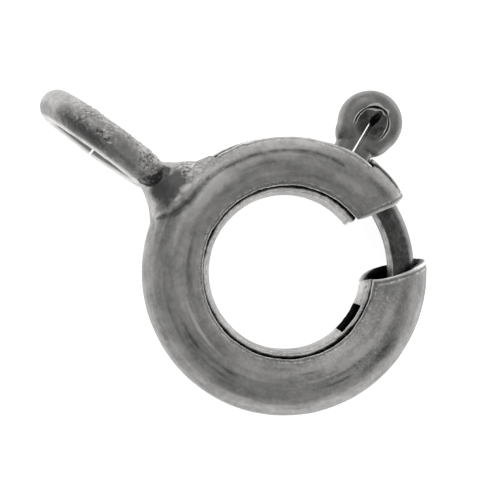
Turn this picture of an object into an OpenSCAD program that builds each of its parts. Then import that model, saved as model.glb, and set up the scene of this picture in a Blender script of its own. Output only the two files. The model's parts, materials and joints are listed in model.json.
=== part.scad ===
// Spring ring clasp: a hollow C-shaped ring with a soldered attachment eye, a sliding bolt with its
// thumb lever, and the coil spring that keeps the bolt shut. Millimetres and degrees.
// The ring's azimuths run anticlockwise from +X, seen from the front, and the eye is at azimuth 180.
// The clasp is drawn as it lies on a flat surface: on the far side of its ring and on its eye.

/* [Ring tube] */
// Outside diameter of the ring
ring_od = 6; // [5.6:0.1:6.6]
// Outside diameter of the tube that the ring is bent from
tube_od = 1.4; // [1.35:0.01:1.5]
// Wall of the tube
tube_wall = 0.13; // [0.1:0.01:0.14]
// Width of the open seam along the tube
seam_w = 0.04; // [0.03:0.01:0.06]
// Place of the seam round the tube, from the ring's inner side towards the front
seam_deg = 41; // [38:1:50]

/* [Gap] */
// Azimuth of the mouth that the bolt closes, on the tube's centre line
catch_deg = 34.5; // [31:0.5:37]
// Turn of that mouth's cut away from the radial direction
catch_skew = 16; // [8:1:20]
// Lean of that mouth's cut, which opens it towards the front
catch_lean = 6.5; // [0:0.5:9]
// Azimuth of the mouth that the bolt comes out of, on the tube's centre line
exit_deg = 70.5; // [69:0.5:73]
// Turn of that mouth's cut away from the radial direction
exit_skew = -4; // [-8:1:0]

/* [Bolt] */
// Width of the bolt's half-round wire, along the ring's axis
wire_w = 0.74; // [0.66:0.01:0.78]
// Thickness of the bolt's half-round wire
wire_t = 0.52; // [0.46:0.01:0.58]
// Running gap between the wire's round back and the tube's bore
bolt_gap = 0.13; // [0.08:0.01:0.15]
// Angle that the bolt slides through from shut to open
travel = 48; // [46:1:50]
// How far the bolt's tip is drawn into its own mouth when it is open
tip_recess = 3; // [3:0.5:5]
// Chamfer round the bolt's tip
tip_chamfer = 0.14; // [0.08:0.01:0.18]
// Angle that the bolt's tail runs on behind the lever
tail_deg = 28; // [22:1:30]

/* [Thumb lever] */
// Azimuth where the lever leaves the ring
lever_deg = 93; // [92.5:0.5:94.5]
// Lean of the lever away from the radial direction
lever_lean = 7.2; // [0:0.1:10]
// Radius of the lever's round eye
lever_r = 0.67; // [0.62:0.01:0.7]
// Height of the eye's centre above the ring
lever_rise = 0.62; // [0.58:0.01:0.66]
// Radius of the lever's heel, where its two legs spread from the eye
heel_r = 0.54; // [0.48:0.01:0.56]
// Height of the heel's centre above the ring
heel_rise = 0.36; // [0.3:0.01:0.4]
// Width of the lever's two legs where they pass through the slot
stem_w = 0.78; // [0.74:0.01:0.84]
// How far the eye's centre lies off the lever's middle line, away from the gap
lever_offset = 0.1; // [0.04:0.01:0.14]
// How much further off that line the legs and the heel lie
stem_shift = 0.07; // [0.03:0.01:0.1]
// Length of the slit between the legs, from the ring's outer side
slit_len = 0.6; // [0.4:0.05:0.8]
// Gap between the legs where they leave the ring
slit_w = 0.08; // [0.05:0.01:0.12]
// Gap left between the lever and the slot on every side
slot_gap = 0.06; // [0.04:0.01:0.08]
// Angle that the slot runs on behind the open lever, under the neck's solder
slot_spare = 13; // [10:1:14]
// Width of the pinched slit that runs from the slot towards the mouth
pinch_w = 0.12; // [0.08:0.01:0.16]
// Angle that the pinched slit runs over
pinch_deg = 12; // [8:1:13]

/* [Window and spring] */
// Azimuth of the window's far end, where its tongue is bent in
window_deg = -11.5; // [-17:0.5:-9]
// Angle that the window spans
window_span = 23; // [18:1:26]
// Width of the window along the ring's axis
window_w = 0.58; // [0.5:0.01:0.7]
// Diameter of the spring's wire
spring_wire = 0.13; // [0.1:0.01:0.14]
// Gap between the spring and the tube's bore
spring_gap = 0.08; // [0.05:0.01:0.1]
// Turns of the spring that are open
spring_turns = 20; // [16:1:22]
// Gap between the spring's ends and what they press on
seat_gap = 0.02; // [0.01:0.01:0.05]

/* [Attachment eye] */
// Outside diameter of the eye
eye_od = 3; // [2.7:0.1:3.2]
// Diameter of the eye's wire
eye_wire = 0.7; // [0.66:0.02:0.76]
// Length of the neck between the ring and the eye
neck_len = 0.23; // [0.18:0.01:0.3]
// Width of the neck's foot on the ring
neck_foot = 2.6; // [2.4:0.1:2.8]
// Twist of the eye about the clasp's length, its top away from the lever
eye_twist = 1; // [0:0.5:5]
// Width of the split in the eye
split_w = 0.08; // [0.05:0.01:0.12]
// Place of the split, from the eye's lowest point towards the ring
split_deg = 4; // [0:1:12]
// Angle on each side of the split over which the wire was left straight
straight_deg = 32; // [20:1:36]

/* [Rest] */
// Azimuth of the place where the ring touches the surface that the clasp lies on
rest_deg = 16; // [0:1:30]

/* [Hidden] */
$fn = 96;

tube_r = tube_od / 2;
bore_r = tube_r - tube_wall;
path_r = ring_od / 2 - tube_r;
gap_chord = 2 * path_r * sin((exit_deg - catch_deg) / 2);
// The tube is bent a little too long, and each mouth is cut by a block deeper than half the gap.
mouth_spare = 12;
mouth_depth = 0.7 * gap_chord;

eye_r = (eye_od - eye_wire) / 2;
eye_x = ring_od / 2 + neck_len + eye_od / 2;
// The eye's straight ends are a little thinner than its wire and start a little inside it.
end_step = 0.01;
end_sink = 0.12;
eye_low = (eye_od / 2 - end_step) / cos(straight_deg) - split_w / 2 * tan(straight_deg);
rest_tilt = asin((eye_low * cos(eye_twist) - tube_r) / (eye_x * cos(rest_deg) + path_r));

bolt_r = path_r + bore_r - bolt_gap - wire_t / 2;
tip_deg = exit_deg + tip_recess - travel;
// The lever's parts lie one face step within each other.
face_step = 0.01;
lever_w = wire_w - 2 * face_step;
slit_tip_w = slit_w / 4;
stem_mid = lever_offset + stem_shift;

slot_w = wire_w + 2 * slot_gap;
stem_low_deg = asin((stem_w / 2 - stem_mid) / (ring_od / 2));
stem_high_deg = asin((stem_w / 2 + stem_mid) / (ring_od / 2));
slot_gap_deg = 2 * asin(slot_gap / ring_od);
slot_from = lever_deg - stem_low_deg - 2 * slot_gap_deg;
slot_to = lever_deg + travel + stem_high_deg + slot_spare;
pinch_z = slot_w / 2 - pinch_w;
pinch_tip_w = seam_w / 2;

// The tongue is a little narrower than the window and reaches just past the bore's middle.
tab_t = tube_wall;
lance_gap = 0.02;
tab_deg = 2 * asin((tab_t + lance_gap) / path_r / 2);
tab_reach = 1.1 * bore_r;
coil_r = bore_r - spring_gap - spring_wire / 2;
wire_deg = 2 * asin((spring_wire / 2 + seat_gap) / path_r);
spring_from = window_deg - tab_deg - wire_deg;
spring_to = lever_deg + tail_deg - 360 + wire_deg;

// The neck ends just inside the eye's wire and stays just below the tube's front and back.
neck_tip_y = 0.43 * eye_wire;
neck_tip_z = 0.46 * eye_wire;
neck_foot_z = 0.95 * tube_r;

// Sections of the neck, from the tube's centre line to the centre of the eye's wire. Shares of the
// way between them, of the growth from the wire to the foot, and of the growth to the tube's height.
NECK_ALONG = 0;
NECK_WIDE = 1;
NECK_HIGH = 2;
NECK = [
    [0.00, 1.00, 0.86],
    [0.16, 0.97, 1.00],
    [0.32, 0.80, 0.92],
    [0.42, 0.62, 0.78],
    [0.50, 0.46, 0.62],
    [0.62, 0.30, 0.42],
    [0.75, 0.17, 0.24],
    [0.87, 0.07, 0.10],
    [1.00, 0.00, 0.00]
];
NECK_SIDES = 32;

COIL_STEPS = 10;
COIL_SIDES = 6;
END_TURNS = 1;

function unit(v) = v / norm(v);
function turned(p, a) = [p.x * cos(a) - p.y * sin(a), p.x * sin(a) + p.y * cos(a), p.z];
function ring_faces(rings, sides) = [
    for (i = [0:rings - 2], k = [0:sides - 1])
        let (n = (k + 1) % sides)
        [i * sides + k, i * sides + n, (i + 1) * sides + n, (i + 1) * sides + k]
];
function cap_faces(rings, sides) = [
    [for (k = [sides - 1:-1:0]) k],
    [for (k = [0:sides - 1]) (rings - 1) * sides + k]
];

// Puts what is drawn in the ring's own plane down as it lies on a flat surface.
module resting() {
    rotate([0, 0, rest_deg])
        rotate([0, rest_tilt, 0])
            rotate([0, 0, -rest_deg]) children();
}

module tube_section(r) {
    translate([path_r, 0]) circle(r);
}

// The seam lies towards the front of the tube's inner side.
module seamed_section() {
    difference() {
        tube_section(tube_r);
        tube_section(bore_r);
        translate([path_r, 0])
            rotate(180 - seam_deg)
                translate([0, -seam_w / 2]) square([tube_od, seam_w]);
    }
}

// A block that takes away what stands past a mouth's plane, towards the gap.
module mouth_cut(azimuth, skew, lean, side) {
    rotate([0, 0, azimuth])
        translate([path_r, 0, 0])
            rotate([lean, 0, skew])
                translate([-tube_od, side > 0 ? 0 : -mouth_depth, -tube_od])
                    cube([2 * tube_od, mouth_depth, 2 * tube_od]);
}

module bent_tube() {
    difference() {
        rotate([0, 0, exit_deg - mouth_spare])
            rotate_extrude(angle = 360 - exit_deg + catch_deg + 2 * mouth_spare) seamed_section();
        mouth_cut(catch_deg, catch_skew, catch_lean, 1);
        mouth_cut(exit_deg, exit_skew, 0, -1);
    }
}

// The slot that the lever travels along, through the tube's outer wall.
module lever_slot() {
    rotate([0, 0, slot_from])
        rotate_extrude(angle = slot_to - slot_from)
            translate([path_r, -slot_w / 2]) square([tube_od, slot_w]);
}

// The slot's way out to the mouth, pinched shut after the bolt went in.
module pinched_slit() {
    run = ring_od / 2 * sin(pinch_deg);
    rotate([0, 0, slot_from])
        translate([path_r, 0, pinch_z])
            rotate([90, 0, 90])
                linear_extrude(height = tube_od)
                    polygon([
                        [slot_gap, pinch_w / 2],
                        [slot_gap, -pinch_w / 2],
                        [-run, -pinch_tip_w / 2],
                        [-run, pinch_tip_w / 2]
                    ]);
}

module window() {
    rotate([0, 0, window_deg])
        rotate_extrude(angle = window_span)
            translate([path_r - tube_od, -window_w / 2]) square([tube_od - bore_r / 2, window_w]);
}

// The window's tongue, bent into the bore, where the spring's far end stands.
module spring_tongue() {
    tongue_w = window_w - 2 * lance_gap;
    rotate([0, 0, window_deg])
        translate([path_r - tube_r + tube_wall / 2, -tab_t - lance_gap, -tongue_w / 2])
            cube([tube_wall / 2 + tab_reach, tab_t, tongue_w]);
}

function neck_x(row) = -(path_r + row[NECK_ALONG] * (eye_x - eye_r - path_r));
function neck_y(row) = neck_tip_y + row[NECK_WIDE] * (neck_foot / 2 - neck_tip_y);
function neck_z(row) = neck_tip_z + row[NECK_HIGH] * (neck_foot_z - neck_tip_z);

module neck() {
    points = [
        for (row = NECK, k = [0:NECK_SIDES - 1])
            let (a = 360 * k / NECK_SIDES)
            [neck_x(row), neck_y(row) * cos(a), neck_z(row) * sin(a)]
    ];
    polyhedron(
        points,
        concat(
            [for (f = ring_faces(len(NECK), NECK_SIDES)) [f[0], f[1], f[2]]],
            [for (f = ring_faces(len(NECK), NECK_SIDES)) [f[0], f[2], f[3]]],
            cap_faces(len(NECK), NECK_SIDES)
        )
    );
}

// The eye's own plane is its X and Y, and its split is on the -Y side, between two straight ends.
module eye_loop() {
    rotate([0, 0, straight_deg - 90])
        rotate_extrude(angle = 360 - 2 * straight_deg)
            translate([eye_r, 0]) circle(d = eye_wire);
    for (side = [-1, 1])
        intersection() {
            rotate([0, 0, side * straight_deg])
                translate([side * end_sink, -eye_r, 0])
                    rotate([0, -side * 90, 0])
                        cylinder(h = 2 * eye_r * tan(straight_deg), d = eye_wire - 2 * end_step);
            translate([side > 0 ? split_w / 2 : -split_w / 2 - eye_r, -2 * eye_r, -eye_wire])
                cube([eye_r, 2 * eye_r, 2 * eye_wire]);
        }
}

module eye() {
    translate([-eye_x, 0, 0])
        rotate([eye_twist, 0, 0])
            rotate([90, 0, 0])
                rotate([0, 0, split_deg]) eye_loop();
}

module ring_body() {
    color([0.5, 0.49, 0.49])
        resting() {
            difference() {
                bent_tube();
                lever_slot();
                pinched_slit();
                window();
            }
            difference() {
                neck();
                rotate_extrude() tube_section(tube_r - tube_wall / 2);
            }
            spring_tongue();
            eye();
        }
}

// The wire's section: a flat towards the ring's centre and a round back.
module wire_section() {
    intersection() {
        translate([-wire_t / 2, -wire_w / 2]) square([wire_t, wire_w]);
        union() {
            translate([wire_t / 2 - wire_w / 2, 0]) circle(wire_w / 2);
            translate([-wire_t / 2, -wire_w / 2]) square([wire_t - wire_w / 2, wire_w]);
        }
    }
}

module bolt_arc() {
    difference() {
        rotate([0, 0, tip_deg])
            rotate_extrude(angle = lever_deg + tail_deg - tip_deg)
                translate([bolt_r, 0]) wire_section();
        for (side = [-1, 1])
            rotate([0, 0, tip_deg])
                translate([bolt_r + side * (wire_t / 2 - tip_chamfer), 0, 0])
                    rotate([0, 0, side * 45])
                        translate([side > 0 ? 0 : -wire_w, -wire_w, -wire_w])
                            cube([wire_w, wire_w, 2 * wire_w]);
    }
}

// A flat disc with a round rim.
module pressed_disc(r, thick) {
    rotate_extrude() {
        translate([0, -thick / 2]) square([r - thick / 2, thick]);
        intersection() {
            translate([r - thick / 2, 0]) circle(thick / 2);
            translate([0, -thick]) square([r + thick, 2 * thick]);
        }
    }
}

// The wire is folded over and pressed together, so the lever is round and flat.
module lever_eye() {
    translate([lever_rise, lever_offset, 0]) pressed_disc(lever_r, lever_w);
    translate([heel_rise, stem_mid, 0]) pressed_disc(heel_r, lever_w - face_step);
}

module lever_stem() {
    stem_t = lever_w - 2 * face_step;
    sink = ring_od / 2 - bolt_r;
    translate([-sink, stem_mid, 0])
        rotate([90, 0, 90])
            linear_extrude(height = sink + heel_rise) {
                square([stem_w - stem_t, stem_t], center = true);
                for (side = [-1, 1])
                    translate([side * (stem_w - stem_t) / 2, 0]) circle(stem_t / 2);
            }
}

module lever_slit() {
    root = ring_od / 2 - bolt_r - wire_t / 2 - bolt_gap / 2;
    linear_extrude(height = 2 * wire_w, center = true)
        polygon([
            [-root, stem_mid + slit_w / 2],
            [-root, stem_mid - slit_w / 2],
            [slit_len, lever_offset - slit_tip_w / 2],
            [slit_len, lever_offset + slit_tip_w / 2]
        ]);
}

module bolt() {
    color([0.33, 0.33, 0.33])
        resting() {
            bolt_arc();
            rotate([0, 0, lever_deg])
                translate([ring_od / 2, 0, 0])
                    rotate([0, 0, lever_lean])
                        difference() {
                            union() {
                                lever_eye();
                                lever_stem();
                            }
                            lever_slit();
                        }
        }
}

// The coil's end turns lie close together, and the turns between them are open.
END_DEG = 2 * asin(spring_wire / path_r / 2);
COIL_TURNS = spring_turns + 2 * END_TURNS;
function coil_deg(t) =
    t < END_TURNS ? spring_from - END_DEG * t / END_TURNS
    : t > COIL_TURNS - END_TURNS ? spring_to + END_DEG * (COIL_TURNS - t) / END_TURNS
    : spring_from - END_DEG
        - (spring_from - spring_to - 2 * END_DEG) * (t - END_TURNS) / spring_turns;
function coil_axis(t) = turned([path_r, 0, 0], coil_deg(t));
function coil_point(t) =
    turned([path_r + coil_r * cos(360 * t), 0, coil_r * sin(360 * t)], coil_deg(t));
function coil_ring(t) =
    let (
        step = 0.5 / COIL_STEPS,
        along = unit(coil_point(t + step) - coil_point(t - step)),
        side = unit(cross(along, coil_point(t) - coil_axis(t))),
        out = cross(side, along)
    )
    [
        for (k = [0:COIL_SIDES - 1])
            let (a = 360 * k / COIL_SIDES)
            coil_point(t) + spring_wire / 2 * (cos(a) * out + sin(a) * side)
    ];

module spring() {
    rings = COIL_TURNS * COIL_STEPS + 1;
    color([0.62, 0.61, 0.58])
        resting()
            polyhedron(
                [for (i = [0:rings - 1]) each coil_ring(i / COIL_STEPS)],
                concat(
                    [for (f = ring_faces(rings, COIL_SIDES)) [f[0], f[2], f[1]]],
                    [for (f = ring_faces(rings, COIL_SIDES)) [f[0], f[3], f[2]]],
                    [for (c = cap_faces(rings, COIL_SIDES)) [for (k = [COIL_SIDES - 1:-1:0]) c[k]]]
                )
            );
}

ring_body();
bolt();
spring();
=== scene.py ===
"""Spring ring clasp, lying shut on a pale surface.

The pieces are modelled in millimetres in the ring's own plane, with azimuths that run anticlockwise
from +X as seen from the front, and are then laid down in metres as the frame's ring lies.
"""
import json
import logging
import math
from collections.abc import Callable, Iterator
from contextlib import contextmanager
from dataclasses import dataclass, field
from enum import Enum
from functools import reduce
from typing import NamedTuple

import bmesh
import bpy
from mathutils import Matrix, Vector, kdtree, noise


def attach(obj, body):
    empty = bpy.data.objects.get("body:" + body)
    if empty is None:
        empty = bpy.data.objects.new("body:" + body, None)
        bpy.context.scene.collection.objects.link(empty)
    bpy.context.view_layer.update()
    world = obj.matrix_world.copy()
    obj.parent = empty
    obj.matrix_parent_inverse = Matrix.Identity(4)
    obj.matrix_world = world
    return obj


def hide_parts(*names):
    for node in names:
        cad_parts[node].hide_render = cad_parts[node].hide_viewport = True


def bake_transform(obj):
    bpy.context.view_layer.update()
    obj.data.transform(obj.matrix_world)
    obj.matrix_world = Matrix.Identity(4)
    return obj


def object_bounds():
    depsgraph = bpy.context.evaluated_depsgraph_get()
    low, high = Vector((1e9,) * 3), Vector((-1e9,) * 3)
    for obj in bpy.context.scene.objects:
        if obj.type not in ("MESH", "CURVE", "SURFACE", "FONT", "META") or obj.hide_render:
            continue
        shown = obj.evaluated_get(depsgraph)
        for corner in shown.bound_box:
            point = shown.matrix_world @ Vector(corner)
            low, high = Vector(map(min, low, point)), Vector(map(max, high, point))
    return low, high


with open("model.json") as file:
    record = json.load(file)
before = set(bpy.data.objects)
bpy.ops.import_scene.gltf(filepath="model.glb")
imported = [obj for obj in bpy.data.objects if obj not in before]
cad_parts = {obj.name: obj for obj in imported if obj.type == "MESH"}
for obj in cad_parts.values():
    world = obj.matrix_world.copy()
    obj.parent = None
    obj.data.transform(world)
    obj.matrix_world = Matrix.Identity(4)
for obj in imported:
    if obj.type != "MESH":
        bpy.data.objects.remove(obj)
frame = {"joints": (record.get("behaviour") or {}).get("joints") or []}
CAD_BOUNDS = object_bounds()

log = logging.getLogger("spring_ring_clasp")

MM = 0.001
# Distance from a rim at which its worn look, a painted highlight on the lip and painted shade in the
# gutter beside it, has ended
EDGE_RUN = 0.3
# Points closer than this are one
MERGE = 0.0001


class Body(Enum):
    """The two bodies that the pieces ride on."""

    RING = "ring"
    SLIDER = "slider"


class Slot(Enum):
    """The record's material slots."""

    RING = "oxidised_silver"
    BOLT = "bolt_silver"
    SPRING = "spring_steel"


class Mark(Enum):
    """Point attributes that the finishes read."""

    # Share of the nearly black painted shade in the bore, at its cut faces and on the tongue
    BORE_SHADE = "bore"
    EDGE = "edge"
    TONE = "tone"
    PITTED = "pitted"
    ALONG = "along"
    FOLD = "fold"
    FOLD_SHARE = "fold_share"


class Pick(Enum):
    """What a selection test is given."""

    POINTS = "VERT"
    LINES = "EDGE"
    FACES = "FACE"


class TubePlace(NamedTuple):
    """A place in the ring's tube.

    azimuth is in degrees and runs on from the exit mouth, section is the angle round the tube's
    centre line from the outer side towards the front, and reach is the distance from that line.
    """

    azimuth: float
    section: float
    reach: float


def smooth_step(low: float, high: float, value: float) -> float:
    """Rise smoothly from 0 at low to 1 at high.

    Args:
        low: Value where the rise starts.
        high: Value where it ends.
        value: Value to look up.

    Returns:
        A share from 0 to 1.
    """
    share = min(1.0, max(0.0, (value - low) / (high - low)))
    return share * share * (3 - 2 * share)


def hill(offset: float, half_width: float) -> float:
    """Return a smooth hill of height 1 that falls to 0 at half_width on both sides."""
    return 1 - smooth_step(0, half_width, abs(offset))


def turn(angle_deg: float, axis: str = "Z") -> Matrix:
    """Return a turn by angle_deg about one of the main axes."""
    return Matrix.Rotation(math.radians(angle_deg), 4, axis)


def shift(x: float = 0.0, y: float = 0.0, z: float = 0.0) -> Matrix:
    """Return a move by x, y and z."""
    return Matrix.Translation((x, y, z))


def rough(point: Vector, scale: float, seed: float = 0.0) -> float:
    """Return smooth noise of about -1 to 1 with features of 1/scale.

    Args:
        point: Place, in millimetres.
        scale: Features to the millimetre.
        seed: Number that sets one noise apart from another.

    Returns:
        The noise's value at the place.
    """
    return noise.noise(point * scale + Vector((seed, 2 * seed, -seed)))


def deselect_all() -> None:
    """Leave nothing selected, in object mode."""
    if bpy.context.object and bpy.context.object.mode != "OBJECT":
        bpy.ops.object.mode_set(mode="OBJECT")
    bpy.ops.object.select_all(action="DESELECT")


def make_active(piece: bpy.types.Object) -> None:
    """Select one piece alone and make it the active one."""
    deselect_all()
    piece.select_set(True)
    bpy.context.view_layer.objects.active = piece


@contextmanager
def editing(piece: bpy.types.Object, pick: Pick = Pick.FACES) -> Iterator[None]:
    """Open a piece in edit mode with all of it selected.

    Args:
        piece: Mesh object to edit.
        pick: Selection mode.

    Returns:
        A context that goes back to object mode at its end.
    """
    make_active(piece)
    bpy.ops.object.mode_set(mode="EDIT")
    bpy.ops.mesh.select_mode(type=pick.value)
    bpy.ops.mesh.select_all(action="SELECT")
    yield
    bpy.ops.object.mode_set(mode="OBJECT")


def select_where(piece: bpy.types.Object, pick: Pick, test: Callable[[object], bool]) -> None:
    """Select the edges or faces that pass a test, in edit mode."""
    bpy.ops.mesh.select_mode(type=pick.value)
    bpy.ops.mesh.select_all(action="DESELECT")
    work = bmesh.from_edit_mesh(piece.data)
    for part in work.edges if pick is Pick.LINES else work.faces:
        part.select = test(part)
    work.select_flush_mode()
    bmesh.update_edit_mesh(piece.data)


def select_lines(piece: bpy.types.Object, test: Callable[[Vector, Vector], bool]) -> None:
    """Select the edges that pass a test on their two ends, in edit mode."""
    select_where(piece, Pick.LINES, lambda line: test(line.verts[0].co, line.verts[1].co))


def select_faces(piece: bpy.types.Object, test: Callable[[Vector, Vector], bool]) -> None:
    """Select the faces that pass a test on their middle and normal, in edit mode."""
    select_where(piece, Pick.FACES, lambda face: test(face.calc_center_median(), face.normal))


def spin(steps: int, sweep_deg: float) -> None:
    """Spin what is selected anticlockwise round the ring's axis, in edit mode."""
    bpy.ops.mesh.spin(
        steps=steps, angle=math.radians(sweep_deg), center=(0, 0, 0), axis=(0, 0, -1)
    )


def place(piece: bpy.types.Object, matrix: Matrix) -> None:
    """Apply a placing matrix to the piece's mesh and keep its object at the origin."""
    piece.matrix_basis = matrix @ piece.matrix_basis
    make_active(piece)
    bpy.ops.object.transform_apply(location=True, rotation=True, scale=True)


def finish_with(piece: bpy.types.Object, kind: str, **settings: object) -> None:
    """Add a modifier to a piece and apply it.

    Args:
        piece: Mesh object.
        kind: The modifier's type.
        settings: Values of the modifier's own settings.
    """
    make_active(piece)
    modifier = piece.modifiers.new(kind.lower(), kind)
    for name, value in settings.items():
        setattr(modifier, name, value)
    bpy.ops.object.modifier_apply(modifier=modifier.name)


def cut_with(piece: bpy.types.Object, cutter: bpy.types.Object) -> None:
    """Take a cutter's volume away from a piece and delete the cutter."""
    finish_with(piece, "BOOLEAN", operation="DIFFERENCE", solver="EXACT", object=cutter)
    bpy.data.objects.remove(cutter)


def close_ends(piece: bpy.types.Object) -> None:
    """Fill a bent wire's open ends and turn all its faces outwards."""
    with editing(piece):
        bpy.ops.mesh.remove_doubles(threshold=MERGE)
        bpy.ops.mesh.fill_holes(sides=0)
        bpy.ops.mesh.select_all(action="SELECT")
        bpy.ops.mesh.normals_make_consistent(inside=False)


def unite(piece: bpy.types.Object, other: bpy.types.Object) -> None:
    """Fuse another closed solid into a piece and delete it."""
    finish_with(piece, "BOOLEAN", operation="UNION", solver="EXACT", object=other)
    bpy.data.objects.remove(other)


def join(name: str, pieces: list[bpy.types.Object]) -> bpy.types.Object:
    """Join several meshes into one object.

    Args:
        name: Name of the joined object.
        pieces: Mesh objects, which the joined one takes in.

    Returns:
        The joined object.
    """
    make_active(pieces[0])
    for piece in pieces:
        piece.select_set(True)
    bpy.ops.object.join()
    pieces[0].name = name
    pieces[0].data.name = name
    return pieces[0]


def shape_points(piece: bpy.types.Object, move: Callable[[Vector, Vector], Vector]) -> None:
    """Move each point of a mesh by a rule on its place and normal."""
    mesh = piece.data
    moved = [move(point.co.copy(), point.normal.copy()) for point in mesh.vertices]
    for point, target in zip(mesh.vertices, moved):
        point.co = target
    mesh.update()


def mark(piece: bpy.types.Object, name: Mark, value: Callable[[Vector], float]) -> None:
    """Store a share from 0 to 1 at each point of a mesh."""
    layer = piece.data.attributes.new(name.value, "FLOAT", "POINT")
    layer.data.foreach_set("value", [value(point.co) for point in piece.data.vertices])


def mark_all(piece: bpy.types.Object, name: Mark, value: float) -> None:
    """Store the same share at all points of a mesh."""
    mark(piece, name, lambda _point: value)


def smooth(piece: bpy.types.Object, angle_deg: float = 40.0) -> None:
    """Shade a piece smooth, but for edges sharper than angle_deg."""
    make_active(piece)
    bpy.ops.object.shade_smooth_by_angle(angle=math.radians(angle_deg))


@dataclass(frozen=True)
class Resting:
    """How the ring's plane lies on the surface, from the joint's axis in the frame."""

    axis: Vector

    @property
    def tilt_deg(self) -> float:
        """Tilt of the ring's plane."""
        return math.degrees(math.acos(self.axis.z))

    @property
    def turn_deg(self) -> float:
        """Azimuth of the ring's lowest place."""
        return math.degrees(math.atan2(self.axis.y, self.axis.x))

    def matrix(self) -> Matrix:
        """Return the placing from millimetres in the ring's plane to metres in the frame."""
        lean = turn(self.turn_deg) @ turn(self.tilt_deg, "Y") @ turn(-self.turn_deg)
        return Matrix.Scale(MM, 4) @ lean


@dataclass(frozen=True)
class RingSizes:
    """Sizes that several pieces share, in millimetres and degrees."""

    ring_r: float = 3.0
    tube_r: float = 0.7
    wall: float = 0.13
    seam_deg: float = 139.0
    exit_deg: float = 70.5
    catch_deg: float = 394.5
    lever_deg: float = 93.0
    tail_deg: float = 121.0
    tip_deg: float = 25.5
    window_from: float = 348.5
    window_to: float = 371.5
    press_from: float = 156.0
    press_to: float = 169.0
    press_depth: float = 0.13

    @property
    def path_r(self) -> float:
        """Radius of the tube's centre line."""
        return self.ring_r - self.tube_r

    @property
    def bore_r(self) -> float:
        """Radius of the tube's bore."""
        return self.tube_r - self.wall

    def locate(self, point: Vector) -> TubePlace:
        """Return where a point lies in the tube."""
        azimuth = math.degrees(math.atan2(point.y, point.x)) % 360
        if azimuth < (self.exit_deg + self.catch_deg - 360) / 2:
            azimuth += 360
        out = math.hypot(point.x, point.y) - self.path_r
        section = math.degrees(math.atan2(point.z, out))
        return TubePlace(azimuth, section, math.hypot(out, point.z))

    def slot_end_press(self, where: TubePlace) -> float:
        """Return how far the skin is pressed in where the lever's slot runs out."""
        if abs(where.section) >= 45:
            return 0.0
        end = 1 - smooth_step(self.press_from, self.press_to, where.azimuth)
        return self.press_depth * end * math.cos(math.radians(2 * where.section))

    def point_at(self, where: TubePlace) -> Vector:
        """Return the point of a place in the tube."""
        section = math.radians(where.section)
        radius = self.path_r + where.reach * math.cos(section)
        azimuth = math.radians(where.azimuth)
        height = where.reach * math.sin(section)
        return Vector((radius * math.cos(azimuth), radius * math.sin(azimuth), height))


class Turning(NamedTuple):
    """One point of a line along the tube: its azimuth and its angle round the tube."""

    azimuth: float
    section: float


class StainAndSheen(NamedTuple):
    """A lighter or darker streak along the tube, in degrees, with its tone from -1 to 1. Some are
    stains and some are bands of painted reflection.
    """

    azimuth: float
    section: float
    run: float
    width: float
    tone: float


class ShadeAndSheenPatch(NamedTuple):
    """A patch of painted shade, where its tone is below 0, or of painted highlight, where it is above
    0, along a line in the ring's own frame, in millimetres.

    It has a tone from -1 to 1 and a hollow, and it fades out over the soft share of its radius.
    """

    start: tuple[float, float, float]
    end: tuple[float, float, float]
    radius: float
    tone: float
    hollow: float = 0.0
    soft: float = 0.4

    def share(self, point: Vector) -> float:
        """Return how much of the patch a point has."""
        start, run = Vector(self.start), Vector(self.end) - Vector(self.start)
        way = (point - start).dot(run) / run.length_squared if run.length_squared else 0.0
        off = (point - start - run * min(1.0, max(0.0, way))).length
        off *= 1 + 0.4 * rough(point, 6.0, self.radius) + 0.15 * rough(point, 17.0, self.radius)
        return 1 - smooth_step((1 - self.soft) * self.radius, self.radius, off)


CREASE = (
    Turning(98, 74),
    Turning(106, 71),
    Turning(150, 71),
    Turning(167, 67),
    Turning(180, 71),
    Turning(189, 57),
    Turning(194, 29),
)
# Stains along the tube, and bands of painted reflection where the light falls on its undulations
STAINS_AND_SHEEN = (
    StainAndSheen(168, 86, 22, 10, 0.5),
    StainAndSheen(196, 74, 12, 7, 0.22),
    StainAndSheen(126, 50, 26, 12, 0.3),
    StainAndSheen(215, 91, 22, 10, 0.14),
    StainAndSheen(248, 96, 17, 2.6, 0.45),
    StainAndSheen(250, 77, 12, 4, -0.3),
    StainAndSheen(271, 81, 10, 3, -0.25),
    StainAndSheen(355, 93, 24, 9, 0.34),
    StainAndSheen(356, 66, 17, 13, -0.26),
    StainAndSheen(317, 104, 8, 1.8, -0.4),
    StainAndSheen(329, 73, 9, 1.8, -0.35),
    StainAndSheen(298, 112, 12, 2.2, -0.25),
    StainAndSheen(262, 70, 16, 1.6, -0.3),
    StainAndSheen(282, 90, 20, 3, 0.16),
    StainAndSheen(232, 62, 18, 2.2, -0.2),
    StainAndSheen(208, 104, 20, 3.5, -0.22),
    StainAndSheen(140, 88, 18, 3.0, -0.2),
    StainAndSheen(112, 112, 14, 2.4, -0.22),
    StainAndSheen(322, 88, 16, 2.2, 0.2),
    StainAndSheen(340, 84, 12, 2.0, -0.22),
    StainAndSheen(196, 60, 10, 10, -0.18),
    StainAndSheen(300, 60, 30, 10, -0.1),
    StainAndSheen(345, 118, 16, 8, 0.2),
    StainAndSheen(92, 96, 9, 8, 0.22),
    StainAndSheen(76, 62, 7, 12, -0.16),
    StainAndSheen(128, 108, 18, 5, 0.12),
    StainAndSheen(230, 116, 16, 4, 0.14),
    StainAndSheen(388, 88, 6, 8, 0.16),
)


# How strong the stains and the bands of painted reflection are, and how far they spread beyond their
# own run and width
STAIN_AND_SHEEN_STRENGTH = 1.6
STAIN_AND_SHEEN_SPREAD = 1.5
# Half width of the crease's dark line, and how much wider it gets towards the solder
CREASE_HALF = 4.5
CREASE_WIDENS = 6.0


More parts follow.
